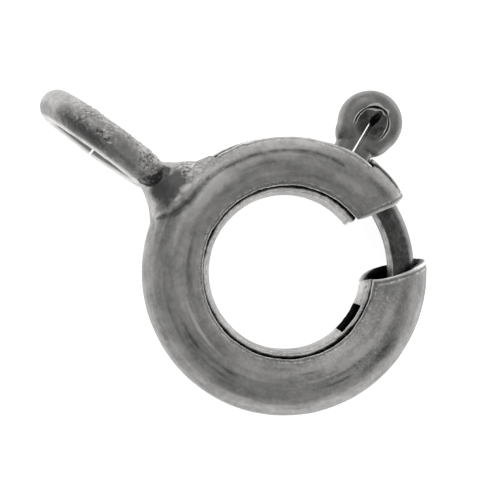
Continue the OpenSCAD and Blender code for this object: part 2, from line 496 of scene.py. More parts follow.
def line_at(line: tuple[Turning, ...], azimuth: float) -> float | None:
    """Return a line's angle round the tube at an azimuth, or None past its ends."""
    for one, two in zip(line, line[1:]):
        if one.azimuth <= azimuth <= two.azimuth:
            share = (azimuth - one.azimuth) / (two.azimuth - one.azimuth)
            return one.section + share * (two.section - one.section)
    return None


def crease_offset(where: TubePlace) -> float:
    """Return how far a place lies inside the crease's line, in degrees round the tube."""
    section = line_at(CREASE, where.azimuth)
    return 180.0 if section is None else where.section - section


def tube_tone(point: Vector, where: TubePlace, seam_deg: float) -> float:
    """Return how much lighter or darker than plain the tube's skin is at a point, from stains and
    from painted shade and highlights.

    Args:
        point: Point on the tube, in millimetres.
        where: The same point's place in the tube.
        seam_deg: The seam's angle round the tube.

    Returns:
        A tone from -1 to 1.
    """
    wander = 4 * rough(point, 1.1, 31.0)
    ragged = 1 + 0.7 * rough(point, 3.0, 41.0) + 0.5 * rough(point, 9.0, 43.0)
    tone = 0.0
    # Stains, and bands of painted reflection along the skin
    for stain_and_sheen in STAINS_AND_SHEEN:
        along = hill(where.azimuth - stain_and_sheen.azimuth, STAIN_AND_SHEEN_SPREAD * stain_and_sheen.run)
        if along > 0:
            across = hill(where.section - stain_and_sheen.section - wander * 0.6, STAIN_AND_SHEEN_SPREAD * stain_and_sheen.width)
            tone += STAIN_AND_SHEEN_STRENGTH * stain_and_sheen.tone * along * across * ragged
    # Painted shade: the crease is a dark line, with a band of painted highlight beside it
    off = crease_offset(where) + 1.5 * rough(point, 5.0, 47.0)
    wide = CREASE_HALF + CREASE_WIDENS * smooth_step(150, 185, where.azimuth)
    tone -= 0.62 * hill(off, wide) * (0.8 + 0.5 * rough(point, 6.0, 53.0))
    if -40 < off < -3:
        tone += 0.14 * hill(off + 12, 16) * ragged
    # Painted shade: the skin is darker where it turns to the outer side
    tone -= 0.24 * hill(where.section - 22, 34)
    # Past the seam the skin is bright at the catch mouth and the window, worn lips with a painted
    # highlight, and before it dark with painted shade in the seam's groove
    from_seam = where.section % 360 - seam_deg
    if from_seam > 0:
        band = smooth_step(372, 378, where.azimuth) * (1 - smooth_step(60, 80, from_seam))
        lip = hill(where.azimuth - 360, 22) * (1 - smooth_step(14, 22, from_seam))
        tone += (0.25 * band + 0.5 * lip) * (1 + 1.2 * rough(point, 9.0, 71.0))
    else:
        tone -= 0.3 * hill(from_seam + 3, 8) * (1 + rough(point, 5.0, 73.0))
    return tone


def skin_rise(point: Vector, where: TubePlace) -> float:
    """Return how far the tube's skin stands out or is dented, apart from its edges.

    Args:
        point: Point on the tube, in millimetres.
        where: The same point's place in the tube.

    Returns:
        A height in millimetres.
    """
    rise = 0.007 * rough(point, 1.3) + 0.003 * rough(point, 4.0, 7.0)
    streak = Vector((where.azimuth / 14, where.section / 9, 0))
    rise += 0.0035 * rough(streak, 1.0, 11.0)
    off = crease_offset(where)
    rise -= 0.011 * hill(off, 4.0)
    rise += 0.006 * hill(off + 7, 7.0)
    return rise


@dataclass
class RingTube:
    """The hollow ring tube: seam, two mouths, lever slot, pinched slit, window and tongue."""

    sizes: RingSizes
    rows: int = 96
    stations: int = 324
    exit_skew: float = -4.0
    catch_skew: float = 16.0
    catch_lean: float = 6.5
    mouth_run: float = 20.0
    exit_sag: float = 2.4
    exit_curl: float = 0.05
    catch_rise: float = 2.2
    corner_run: float = 1.4
    corner_reach: float = 6.0
    slot_from: float = 86.5
    slot_to: float = 158.5
    slot_half: float = 37.9
    pinch_from: float = 74.5
    pinch_mid: float = 26.4
    pinch_root_half: float = 6.0
    pinch_tip_half: float = 4.6
    pinch_fade: float = 20.0
    seam_half: float = 4.5
    seam_squeeze: float = 2.8
    seam_fade: float = 12.0
    window_front: float = 149.5
    window_back: float = 184.0
    lip_r: float = 0.02
    tongue_w: float = 0.54
    tongue_reach: float = 0.63
    tongue_round: float = 0.03
    lance_gap: float = 0.02
    rims: kdtree.KDTree | None = field(default=None, init=False)

    @property
    def row_deg(self) -> float:
        """Angle between two rows of points round the tube."""
        return 360 / self.rows

    def section_ring(self) -> bpy.types.Object:
        """Draw the tube's round section at the exit mouth, open at the seam."""
        bpy.ops.mesh.primitive_circle_add(vertices=self.rows, radius=self.sizes.tube_r)
        ring = bpy.context.object
        row_offset = (self.sizes.seam_deg - self.row_deg / 2) % self.row_deg
        upright = shift(self.sizes.path_r) @ turn(90, "X") @ turn(row_offset)
        place(ring, upright)
        seam = self.sizes.seam_deg

        def at_seam(one: Vector, two: Vector) -> bool:
            angles = [self.sizes.locate(end).section for end in (one, two)]
            return all(abs(angle - seam) < self.row_deg for angle in angles)

        with editing(ring, Pick.LINES):
            select_lines(ring, at_seam)
            bpy.ops.mesh.delete(type="EDGE")
        place(ring, turn(self.sizes.exit_deg))
        return ring

    def bend(self, ring: bpy.types.Object) -> None:
        """Spin the section round the ring's axis, from the exit mouth to the catch mouth."""
        sweep = self.sizes.catch_deg - self.sizes.exit_deg
        with editing(ring, Pick.POINTS):
            spin(self.stations, sweep)
        self.turn_outwards(ring)

    def turn_outwards(self, ring: bpy.types.Object) -> None:
        """Make all faces point away from the tube's centre line."""
        face = ring.data.polygons[len(ring.data.polygons) // 2]
        where = self.sizes.locate(face.center)
        out = face.center - self.sizes.point_at(where._replace(reach=0.0))
        if face.normal.dot(out) < 0:
            with editing(ring):
                bpy.ops.mesh.flip_normals()

    def slant(self, where: TubePlace, skew: float, lean: float) -> float:
        """Return how far round the ring a slanted cut lies from its middle azimuth.

        Args:
            where: Place on the tube.
            skew: Turn of the cut away from the radial direction.
            lean: Lean of the cut towards the front.

        Returns:
            An angle in degrees.
        """
        section = math.radians(where.section)
        radius = self.sizes.path_r + where.reach * math.cos(section)
        height = where.reach * math.sin(section)
        across = -self.sizes.path_r * math.sin(math.radians(skew))
        across -= height * math.tan(math.radians(lean))
        return skew + math.degrees(math.asin(across / radius))

    def corner_slide(self, where: TubePlace) -> float:
        """Return how far along the tube the slot's corner under the pinched slit is drawn."""
        reach = self.corner_reach
        from_corner = where.azimuth - self.slot_from
        if not -reach < from_corner < reach - 0.6 or abs(where.section) >= self.slot_half + reach:
            return 0.0
        below = 1 - smooth_step(self.pinch_mid - reach, self.pinch_mid, where.section)
        if from_corner < -0.6:
            return self.corner_run * below * smooth_step(-reach, -0.5, from_corner)
        return self.corner_run * below * (1 - smooth_step(0.5, reach, from_corner))

    def fit_mouths(self, point: Vector, _normal: Vector) -> Vector:
        """Slide a point along the tube so that the end rows lie on the two slanted cuts."""
        where = self.sizes.locate(point)
        from_exit = where.azimuth - self.sizes.exit_deg
        from_catch = self.sizes.catch_deg - where.azimuth
        azimuth = where.azimuth
        reach = where.reach
        at_seam = hill(where.section - 145, 30)
        if from_exit < self.mouth_run:
            share = 1 - from_exit / self.mouth_run
            sag = self.exit_sag * hill(where.section - 50, 95) - 1.1 * at_seam
            azimuth += share * share * (self.slant(where, self.exit_skew, 0) - sag)
            reach -= self.exit_curl * hill(where.section - 5, 50) * share**8
        if from_catch < self.mouth_run:
            share = 1 - from_catch / self.mouth_run
            rise = self.catch_rise + at_seam + 1.7 * hill(where.section + 130, 60)
            slant = self.slant(where, self.catch_skew, self.catch_lean)
            azimuth += share * share * (slant + rise)
        azimuth += self.corner_slide(where)
        return self.sizes.point_at(where._replace(azimuth=azimuth, reach=reach))

    def cut_openings(self, ring: bpy.types.Object) -> None:
        """Delete the faces of the slot, the pinched slit and the window."""
        half_row = self.row_deg / 2

        def is_open(middle: Vector, _normal: Vector) -> bool:
            where = self.sizes.locate(middle)
            in_slot = self.slot_from < where.azimuth < self.slot_to
            if in_slot and abs(where.section) < self.slot_half + half_row / 2:
                return True
            in_pinch = self.pinch_from < where.azimuth < self.slot_from
            if in_pinch and abs(where.section - self.pinch_mid) < half_row:
                return True
            in_window = self.sizes.window_from < where.azimuth < self.sizes.window_to
            return in_window and self.window_front < where.section % 360 < self.window_back

        with editing(ring):
            select_faces(ring, is_open)
            bpy.ops.mesh.delete(type="FACE")

    def fit_rows(self, point: Vector, _normal: Vector) -> Vector:
        """Slide a point round the tube onto the edges of the slot and the pinched slit."""
        where = self.sizes.locate(point)
        section = where.section
        off = section - self.pinch_mid
        by_pinch = self.pinch_from - 1 < where.azimuth < self.slot_from + 0.5
        if by_pinch and abs(off) < self.pinch_fade:
            share = smooth_step(self.pinch_from, self.slot_from, where.azimuth)
            half = self.pinch_tip_half + share * (self.pinch_root_half - self.pinch_tip_half)
            half *= 1 + 0.5 * rough(point, 6.0, 83.0)
            side = 1 if off > 0 else -1
            spread = half - self.row_deg / 2
            section += side * spread * (1 - smooth_step(self.row_deg, self.pinch_fade, abs(off)))
        from_seam = (section - self.sizes.seam_deg + 180) % 360 - 180
        if abs(from_seam) < self.seam_fade:
            tight = max(hill(where.azimuth - 216, 26), 0.85 * smooth_step(345, 375, where.azimuth))
            half = self.seam_half - self.seam_squeeze * tight + 1.1 * rough(point, 3.5, 23.0)
            spread = half - self.row_deg / 2
            fade = 1 - smooth_step(self.row_deg / 2, self.seam_fade, abs(from_seam))
            section += math.copysign(spread * fade, from_seam)
        return self.sizes.point_at(where._replace(section=section))

    def hammer(self, point: Vector, normal: Vector) -> Vector:
        """Press the small dents, ridges and rolled lips of the real tube into its skin."""
        where = self.sizes.locate(point)
        rise = skin_rise(point, where)
        edge = self.edge_distance(point)
        lip = hill(edge - 0.02, 0.06)
        rise += lip * (0.008 + 0.014 * rough(point, 9.0, 3.0))
        at_mouth = smooth_step(self.sizes.catch_deg - 14, self.sizes.catch_deg - 8, where.azimuth)
        rise -= at_mouth * 0.014 * hill(edge - 0.09, 0.045)
        rise += at_mouth * 0.010 * hill(edge - 0.14, 0.04) * (1 + rough(point, 7.0, 61.0))
        by_lever = hill(where.azimuth - 96, 11) * hill(where.section - self.slot_half, 12)
        rise += by_lever * (0.03 * hill(edge, 0.06) - 0.012 * hill(edge - 0.1, 0.05))
        corner = at_mouth * hill((where.section % 360) - 165, 40) * hill(edge, 0.12)
        rise += corner * 0.03 * (0.6 + rough(point, 8.0, 67.0))
        if where.azimuth > self.slot_to - 1:
            rise -= self.sizes.slot_end_press(where)
        return point + normal * rise

    def edge_distance(self, point: Vector) -> float:
        """Return how far a point lies from the nearest edge of the open skin."""
        return self.rims.find(point)[2] if self.rims else 1.0

    def note_rims(self, ring: bpy.types.Object) -> None:
        """Remember where the open skin's edges run."""
        work = bmesh.new()
        work.from_mesh(ring.data)
        rims = [line for line in work.edges if line.is_boundary]
        ends = {end.index: end.co.copy() for line in rims for end in line.verts}
        work.free()
        self.rims = kdtree.KDTree(len(ends))
        for index, place_of_end in ends.items():
            self.rims.insert(place_of_end, index)
        self.rims.balance()

    def tongue(self) -> bpy.types.Object:
        """Make the window's tongue, bent into the bore."""
        inner_x = self.sizes.path_r - self.sizes.tube_r + self.sizes.wall / 2
        length = self.sizes.wall / 2 + self.tongue_reach
        bpy.ops.mesh.primitive_cube_add(size=1)
        tongue = bpy.context.object
        tongue.scale = (length, self.sizes.wall, self.tongue_w)
        place(tongue, shift(inner_x + length / 2, -self.sizes.wall / 2 - self.lance_gap))
        with editing(tongue):
            bpy.ops.mesh.bevel(offset=self.tongue_round, segments=3, affect="EDGES")
            bpy.ops.mesh.subdivide(number_cuts=2)
        place(tongue, turn(self.sizes.window_from))
        # Painted shade: the tongue is painted nearly black
        mark_all(tongue, Mark.BORE_SHADE, 1.0)
        return tongue

    def build(self) -> bpy.types.Object:
        """Model the tube.

        Returns:
            The tube in the ring's own plane, in millimetres.
        """
        ring = self.section_ring()
        self.bend(ring)
        self.cut_openings(ring)
        shape_points(ring, self.fit_rows)
        shape_points(ring, self.fit_mouths)
        self.note_rims(ring)
        shape_points(ring, self.hammer)
        finish_with(ring, "SOLIDIFY", thickness=self.sizes.wall, offset=-1, use_even_offset=True)
        finish_with(
            ring,
            "BEVEL",
            width=self.lip_r,
            segments=2,
            limit_method="ANGLE",
            angle_limit=math.radians(50),
            use_clamp_overlap=False,
        )
        self.mark_points(ring)
        smooth(ring)
        return join("ring_tube", [ring, self.tongue()])

    def mark_points(self, ring: bpy.types.Object) -> None:
        """Store the painted shade in the bore by its depth, distance from a rim, tone with its
        painted shade and highlights, pits and place of each point.
        """
        outer = self.sizes.tube_r

        # Painted shade: the bore, the cut faces of the seam and the slit, and the window's far wall
        # are painted nearly black
        def bore_shade_share(point: Vector) -> float:
            where = self.sizes.locate(point)
            depth = outer - where.reach
            seam_off = abs((where.section - self.sizes.seam_deg + 180) % 360 - 180)
            pinch_off = abs(where.section - self.pinch_mid)
            in_pinch = pinch_off < 9 and self.pinch_from - 2 < where.azimuth < self.slot_from + 0.6
            if seam_off < 7 or in_pinch:
                return smooth_step(0.008, 0.04, depth)
            in_window = self.sizes.window_from < where.azimuth < self.sizes.window_to
            if in_window and 174 < where.section % 360 < 200:
                return 1.0
            return smooth_step(0.045, self.sizes.wall - 0.02, depth)

        def from_edge(point: Vector) -> float:
            where = self.sizes.locate(point)
            edge = self.edge_distance(point)
            if self.pinch_from - 3 < where.azimuth < self.slot_from and 3 < where.section < 50:
                edge = 0.02 + 4 * edge
            if where.azimuth > self.sizes.window_from - 6 and where.section % 360 > 143:
                edge += 0.2
            elif abs(where.section % 360 - self.sizes.seam_deg) < 12 or where.azimuth > 145:
                edge += 0.022 * (1 - smooth_step(376, 382, where.azimuth))
            return min(EDGE_RUN, edge)

        def tone(point: Vector) -> float:
            return tube_tone(point, self.sizes.locate(point), self.sizes.seam_deg)

        def pitted(point: Vector) -> float:
            where = self.sizes.locate(point)
            low = hill(where.azimuth - 352, 60) * hill(where.section - 105, 55)
            seam = hill(where.section - self.sizes.seam_deg, 22)
            solder = hill(where.azimuth - 165, 22) * hill(where.section - 45, 40)
            return min(1.0, 0.8 * low + 0.6 * seam + 0.8 * solder)

        mark(ring, Mark.BORE_SHADE, bore_shade_share)
        mark(ring, Mark.EDGE, from_edge)
        mark(ring, Mark.TONE, tone)
        mark(ring, Mark.PITTED, pitted)
        mark_along(ring, self.sizes)


def mark_along(piece: bpy.types.Object, sizes: RingSizes) -> None:
    """Store each point's length along the tube and round it, in millimetres."""
    layer = piece.data.attributes.new(Mark.ALONG.value, "FLOAT_VECTOR", "POINT")
    values: list[float] = []
    for point in piece.data.vertices:
        where = sizes.locate(point.co)
        section = where.section if where.section < sizes.seam_deg else where.section - 360
        values.append(math.radians(where.azimuth) * sizes.path_r)
        values.append(math.radians(section) * sizes.tube_r)
        values.append(where.reach)
    layer.data.foreach_set("vector", values)


class NeckSection(NamedTuple):
    """One section of the neck, in shares of the way to the eye and of the growth to the foot."""

    along: float
    wide: float
    high: float


@dataclass
class SolderedEye:
    """The attachment eye and the neck of solder that holds it to the tube."""

    sizes: RingSizes
    eye_r: float = 1.15
    wire_r: float = 0.35
    gap: float = 0.23
    twist_deg: float = 1.0
    split_deg: float = 4.0
    straight_deg: float = 32.0
    split_w: float = 0.05
    foot_half: float = 1.3
    foot_high: float = 0.665
    tip_half: float = 0.301
    tip_high: float = 0.322
    voxel: float = 0.021
    bed_depth: float = 0.008
    bed_half: float = 48.0
    skirt: float = 0.05
    thin_to: float = 160.0
    thin_half: float = 50.0
    thin_reach: float = 0.75
    thin_fade: float = 7.0
    bed_stations: int = 90
    loop_stations: int = 120
    ends_overlap: float = 0.02
    pit_depth: float = 0.022
    crumb_height: float = 0.016
    fillet_reach: float = 0.35
    # Patches of painted shade and painted highlight on the eye and the neck
    shade_and_sheen_patches: tuple[ShadeAndSheenPatch, ...] = (
        ShadeAndSheenPatch((-3.20, -0.06, 0.56), (-2.98, 0.12, 0.52), 0.42, -0.6, 0.0, 0.75),
        ShadeAndSheenPatch((-3.20, -0.30, 0.42), (-3.05, -0.25, 0.50), 0.28, -0.35, 0.0, 0.8),
        ShadeAndSheenPatch((-3.64, -0.28, 0.86), (-3.35, -0.20, 0.50), 0.10, -0.9, 0.02, 0.35),
        ShadeAndSheenPatch((-3.57, -0.14, 0.84), (-3.36, 0.02, 0.60), 0.11, -0.9, 0.02, 0.35),
        ShadeAndSheenPatch((-3.38, 0.05, 0.62), (-3.30, 0.23, 0.34), 0.10, -0.8, 0.02, 0.4),
        ShadeAndSheenPatch((-3.30, 0.23, 0.34), (-3.39, 0.28, 0.28), 0.07, -0.6, 0.01, 0.4),
        ShadeAndSheenPatch((-5.79, -0.10, 1.04), (-5.70, -0.12, 1.10), 0.24, -0.3, 0.0, 0.6),
        ShadeAndSheenPatch((-5.40, -0.18, 1.30), (-5.05, -0.20, 1.42), 0.30, -0.26, 0.0, 0.6),
        ShadeAndSheenPatch((-6.06, -0.11, 0.65), (-6.10, -0.11, 0.45), 0.36, 0.12, 0.0, 0.8),
        ShadeAndSheenPatch((-5.02, -0.04, 1.47), (-4.94, 0.00, 1.47), 0.035, -0.6, 0.015),
        ShadeAndSheenPatch((-4.80, -0.08, 1.49), (-4.70, -0.04, 1.49), 0.035, -0.6, 0.015),
        ShadeAndSheenPatch((-3.90, 0.12, 1.19), (-3.80, 0.26, 1.02), 0.035, -0.6, 0.015),
        ShadeAndSheenPatch((-2.83, 0.10, 0.60), (-2.74, 0.24, 0.58), 0.09, 0.5, 0.0, 0.7),
        ShadeAndSheenPatch((-2.80, -0.16, 0.60), (-2.78, -0.06, 0.61), 0.035, 0.6),
        ShadeAndSheenPatch((-3.16, -0.38, 0.32), (-3.00, -0.62, 0.22), 0.13, 0.3, 0.0, 0.6),
        ShadeAndSheenPatch((-2.90, 0.58, 0.44), (-2.66, 0.80, 0.48), 0.14, 0.25, 0.0, 0.7),
    )
    sections: tuple[NeckSection, ...] = (
        NeckSection(0.00, 1.00, 0.86),
        NeckSection(0.16, 0.97, 1.00),
        NeckSection(0.32, 0.80, 0.92),
        NeckSection(0.42, 0.62, 0.78),
        NeckSection(0.50, 0.46, 0.62),
        NeckSection(0.62, 0.30, 0.42),
        NeckSection(0.75, 0.17, 0.24),
        NeckSection(0.87, 0.07, 0.10),
        NeckSection(1.00, 0.00, 0.00),
    )

    @property
    def eye_x(self) -> float:
        """Distance of the eye's centre from the ring's."""
        return self.sizes.ring_r + self.gap + self.eye_r + self.wire_r

    def section_size(self, section: NeckSection) -> tuple[float, float, float]:
        """Return a neck section's X and its half width and height."""
        end = self.eye_x - self.eye_r
        x = -(self.sizes.path_r + section.along * (end - self.sizes.path_r))
        wide = self.tip_half + section.wide * (self.foot_half - self.tip_half)
        high = self.tip_high + section.high * (self.foot_high - self.tip_high)
        return x, wide, high

    def neck(self) -> bpy.types.Object:
        """Loft the neck through its sections, and clear the tube's bore from it."""
        x, wide, high = self.section_size(self.sections[0])
        bpy.ops.mesh.primitive_circle_add(vertices=64, radius=1, fill_type="NGON")
        neck = bpy.context.object
        neck.scale = (wide, high, 1)
        place(neck, shift(x) @ turn(90, "Z") @ turn(90, "X"))
        with editing(neck):
            for section in self.sections[1:]:
                new_x, new_wide, new_high = self.section_size(section)
                bpy.ops.mesh.extrude_region_move(
                    TRANSFORM_OT_translate={"value": (new_x - x, 0, 0)}
                )
                bpy.ops.transform.resize(
                    value=(1, new_wide / wide, new_high / high), center_override=(new_x, 0, 0)
                )
                x, wide, high = new_x, new_wide, new_high
        close_ends(neck)
        return neck

    def bed(self) -> bpy.types.Object:
        """Draw the stretch of the tube that the solder runs out on, just under the tube's skin."""
        bpy.ops.mesh.primitive_circle_add(vertices=64, radius=self.sizes.tube_r - self.bed_depth)
        bed = bpy.context.object
        place(bed, turn(180 - self.bed_half) @ shift(self.sizes.path_r) @ turn(90, "X"))
        with editing(bed):
            spin(self.bed_stations, 2 * self.bed_half)
        close_ends(bed)
        return bed

    def is_thin(self, where: TubePlace) -> bool:
        """Tell whether a place is in the solder's thin end over the lever's slot."""
        over_slot = where.azimuth < self.thin_to and abs(where.section) < self.thin_half
        return over_slot and where.reach < self.thin_reach

    def uncover(self, eye: bpy.types.Object) -> None:
        """Delete what lies under the tube's skin, and sink the solder's edge a little into it."""
        hidden = self.sizes.tube_r - self.bed_depth / 2

        def is_covered(middle: Vector, _normal: Vector) -> bool:
            where = self.sizes.locate(middle)
            return where.reach < hidden or self.is_thin(where)

        with editing(eye):
            select_faces(eye, is_covered)
            bpy.ops.mesh.delete(type="FACE")
            bpy.ops.mesh.select_mode(type=Pick.LINES.value)
            bpy.ops.mesh.select_all(action="DESELECT")
            bpy.ops.mesh.select_non_manifold(
                use_wire=False, use_multi_face=False, use_non_contiguous=False, use_verts=False
            )
            bpy.ops.mesh.extrude_edges_move()
            work = bmesh.from_edit_mesh(eye.data)
            for point in work.verts:
                if point.select:
                    where = self.sizes.locate(point.co)
                    point.co = self.sizes.point_at(where._replace(reach=where.reach - self.skirt))
            bmesh.update_edit_mesh(eye.data)

    def loop(self) -> bpy.types.Object:
        """Bend the eye's wire into its loop, with two straight ends that meet at the split."""
        start = self.straight_deg - 90
        bpy.ops.mesh.primitive_circle_add(vertices=48, radius=self.wire_r)
        loop = bpy.context.object
        place(loop, turn(start) @ shift(self.eye_r) @ turn(90, "X"))
        with editing(loop):
            spin(self.loop_stations, 360 - 2 * self.straight_deg)
            bpy.ops.mesh.select_all(action="SELECT")
            bpy.ops.mesh.fill_holes(sides=0)
            run = self.eye_r * math.tan(math.radians(self.straight_deg)) + self.ends_overlap
            for side in (-1, 1):
                edge = turn(-90 - side * self.straight_deg)
                end = edge @ Vector((self.eye_r, 0, 0))
                self.draw_straight(loop, end, edge @ Vector((0, side * run, 0)))
            bpy.ops.mesh.select_all(action="SELECT")
            bpy.ops.mesh.normals_make_consistent(inside=False)
        return loop

    def draw_straight(self, loop: bpy.types.Object, end: Vector, along: Vector) -> None:
        """Draw one end of the bent wire out into its straight stretch, in edit mode."""
        select_faces(loop, lambda middle, _normal: (middle - end).length < 0.01)
        bpy.ops.mesh.extrude_region_move(TRANSFORM_OT_translate={"value": along})

    def stand(self) -> Matrix:
        """Return the placing of the eye's own plane beside the ring."""
        upright = turn(self.twist_deg, "X") @ turn(90, "X") @ turn(self.split_deg)
        return shift(-self.eye_x) @ upright

    def cut_split(self, eye: bpy.types.Object) -> None:
        """Saw the split through the eye's lower side."""
        bpy.ops.mesh.primitive_cube_add(size=1)
        saw = bpy.context.object
        saw.scale = (self.split_w, 2 * self.wire_r + 0.4, 3 * self.wire_r)
        place(saw, self.stand() @ shift(0, -self.eye_r - 0.2))
        cut_with(eye, saw)

    def soften_foot(self, eye: bpy.types.Object) -> None:
        """Round the hollow between the neck and the tube, as molten solder fills it."""
        group = eye.vertex_groups.new(name="foot")
        for point in eye.data.vertices:
            height = self.sizes.locate(point.co).reach - self.sizes.tube_r
            group.add([point.index], 1 - smooth_step(0.05, self.fillet_reach, height), "REPLACE")
        finish_with(eye, "SMOOTH", factor=0.5, iterations=60, vertex_group="foot")
        eye.vertex_groups.clear()

    def flow(self, point: Vector, normal: Vector) -> Vector:
        """Roughen the skin, less where it runs out on the tube."""
        where = self.sizes.locate(point)
        away = smooth_step(0.03, 0.2, where.reach - self.sizes.tube_r)
        rise = skin_rise(point, where) * (1 - away)
        rise += away * (0.008 * rough(point, 2.5, 5.0) + 0.006 * rough(point, 8.0, 9.0))
        rough_here = away * self.pitted(point)
        rise -= rough_here * self.pit_depth * self.pits(point, 0.25, 0.55)
        rise += rough_here * self.crumb_height * self.crumbs(point, 0.15, 0.45)
        for patch in self.shade_and_sheen_patches:
            if patch.hollow:
                rise -= patch.hollow * patch.share(point)
        on_tube = 1 - smooth_step(0.1, 0.3, where.reach - self.sizes.tube_r)
        rise -= self.sizes.slot_end_press(where) * on_tube
        sink_to = self.thin_to + self.thin_fade
        if where.azimuth < sink_to and abs(where.section) < 55:
            rise -= self.skirt * (1 - smooth_step(self.thin_to, sink_to, where.azimuth))
        return point + normal * rise

    def pits(self, point: Vector, low: float, high: float) -> float:
        """Return how deep in a pit a point is, where low and high bound the pits' rim."""
        return smooth_step(low, high, rough(point, 15.0, 2.0))

    def crumbs(self, point: Vector, low: float, high: float) -> float:
        """Return how high on a crumb of solder a point is, where low and high bound its foot."""
        return smooth_step(low, high, rough(point, 17.0, 13.0))

    def pitted(self, point: Vector) -> float:
        """Return how rough the solder and the eye's wire are at a point."""
        upper = smooth_step(-0.22, 0.02, point.y + 0.06 * rough(point, 3.0, 17.0))
        upper *= smooth_step(-5.9, -5.2, point.x) * (1 - smooth_step(-3.5, -3.4, point.x))
        solder = smooth_step(0.25, 0.5, point.y) * smooth_step(-3.3, -3.0, point.x)
        patchy = smooth_step(-0.45, 0.1, rough(point, 2.6, 5.0))
        return 0.1 + 0.9 * patchy * max(upper * smooth_step(0, 0.5, point.z), solder)

    def tone(self, point: Vector) -> float:
        """Return how much lighter or darker than plain a point is, with painted shade and highlights.
        """
        where = self.sizes.locate(point)
        near = 1 - smooth_step(0.1, 0.3, where.reach - self.sizes.tube_r)
        tone = near * tube_tone(point, where, self.sizes.seam_deg)
        # Painted shade in the wedge where the eye meets the neck and in its hollows and pits, and
        # painted highlights on the eye's lit end and rims
        tone += sum(patch.tone * patch.share(point) for patch in self.shade_and_sheen_patches)
        # Painted highlight along the wire's front rim, and painted shade below the rim and on the far
        # half
        local = self.stand().inverted() @ point
        on_eye = 1 - smooth_step(-3.75, -3.55, point.x)
        tone += 0.4 * on_eye * smooth_step(0.305, 0.335, local.z)
        below_rim = 1 - smooth_step(0.285, 0.31, local.z)
        under = smooth_step(0.02, 0.2, local.z) * below_rim
        far = (1 - smooth_step(-0.3, 0.1, point.z)) * below_rim
        tone -= on_eye * (0.35 * under + 0.35 * far)
        crumbs = self.crumbs(point, 0.12, 0.35)
        pits = self.pits(point, 0.2, 0.45)
        return tone + self.pitted(point) * (0.7 * crumbs - 0.4 * pits)

    def build(self) -> bpy.types.Object:
        """Model the eye and its neck as one skin.

        Returns:
            The piece in the ring's own plane, in millimetres.
        """
        eye = self.neck()
        loop = self.loop()
        place(loop, self.stand())
        unite(eye, loop)
        unite(eye, self.bed())
        eye.name = "soldered_eye"
        eye.data.name = eye.name
        finish_with(eye, "REMESH", mode="VOXEL", voxel_size=self.voxel)
        finish_with(eye, "SMOOTH", factor=0.5, iterations=4)
        self.soften_foot(eye)
        self.cut_split(eye)
        self.uncover(eye)
        shape_points(eye, self.flow)
        mark_all(eye, Mark.BORE_SHADE, 0.0)
        mark_all(eye, Mark.EDGE, EDGE_RUN)
        mark(eye, Mark.TONE, self.tone)
        mark(eye, Mark.PITTED, self.pitted)
        mark_along(eye, self.sizes)
        smooth(eye)
        return eye


class FoldPoint(NamedTuple):
    """One point of the lever's fold round its eye: how wide its groove is, and how deep."""

    angle: float
    radius: float
    width: float
    depth: float


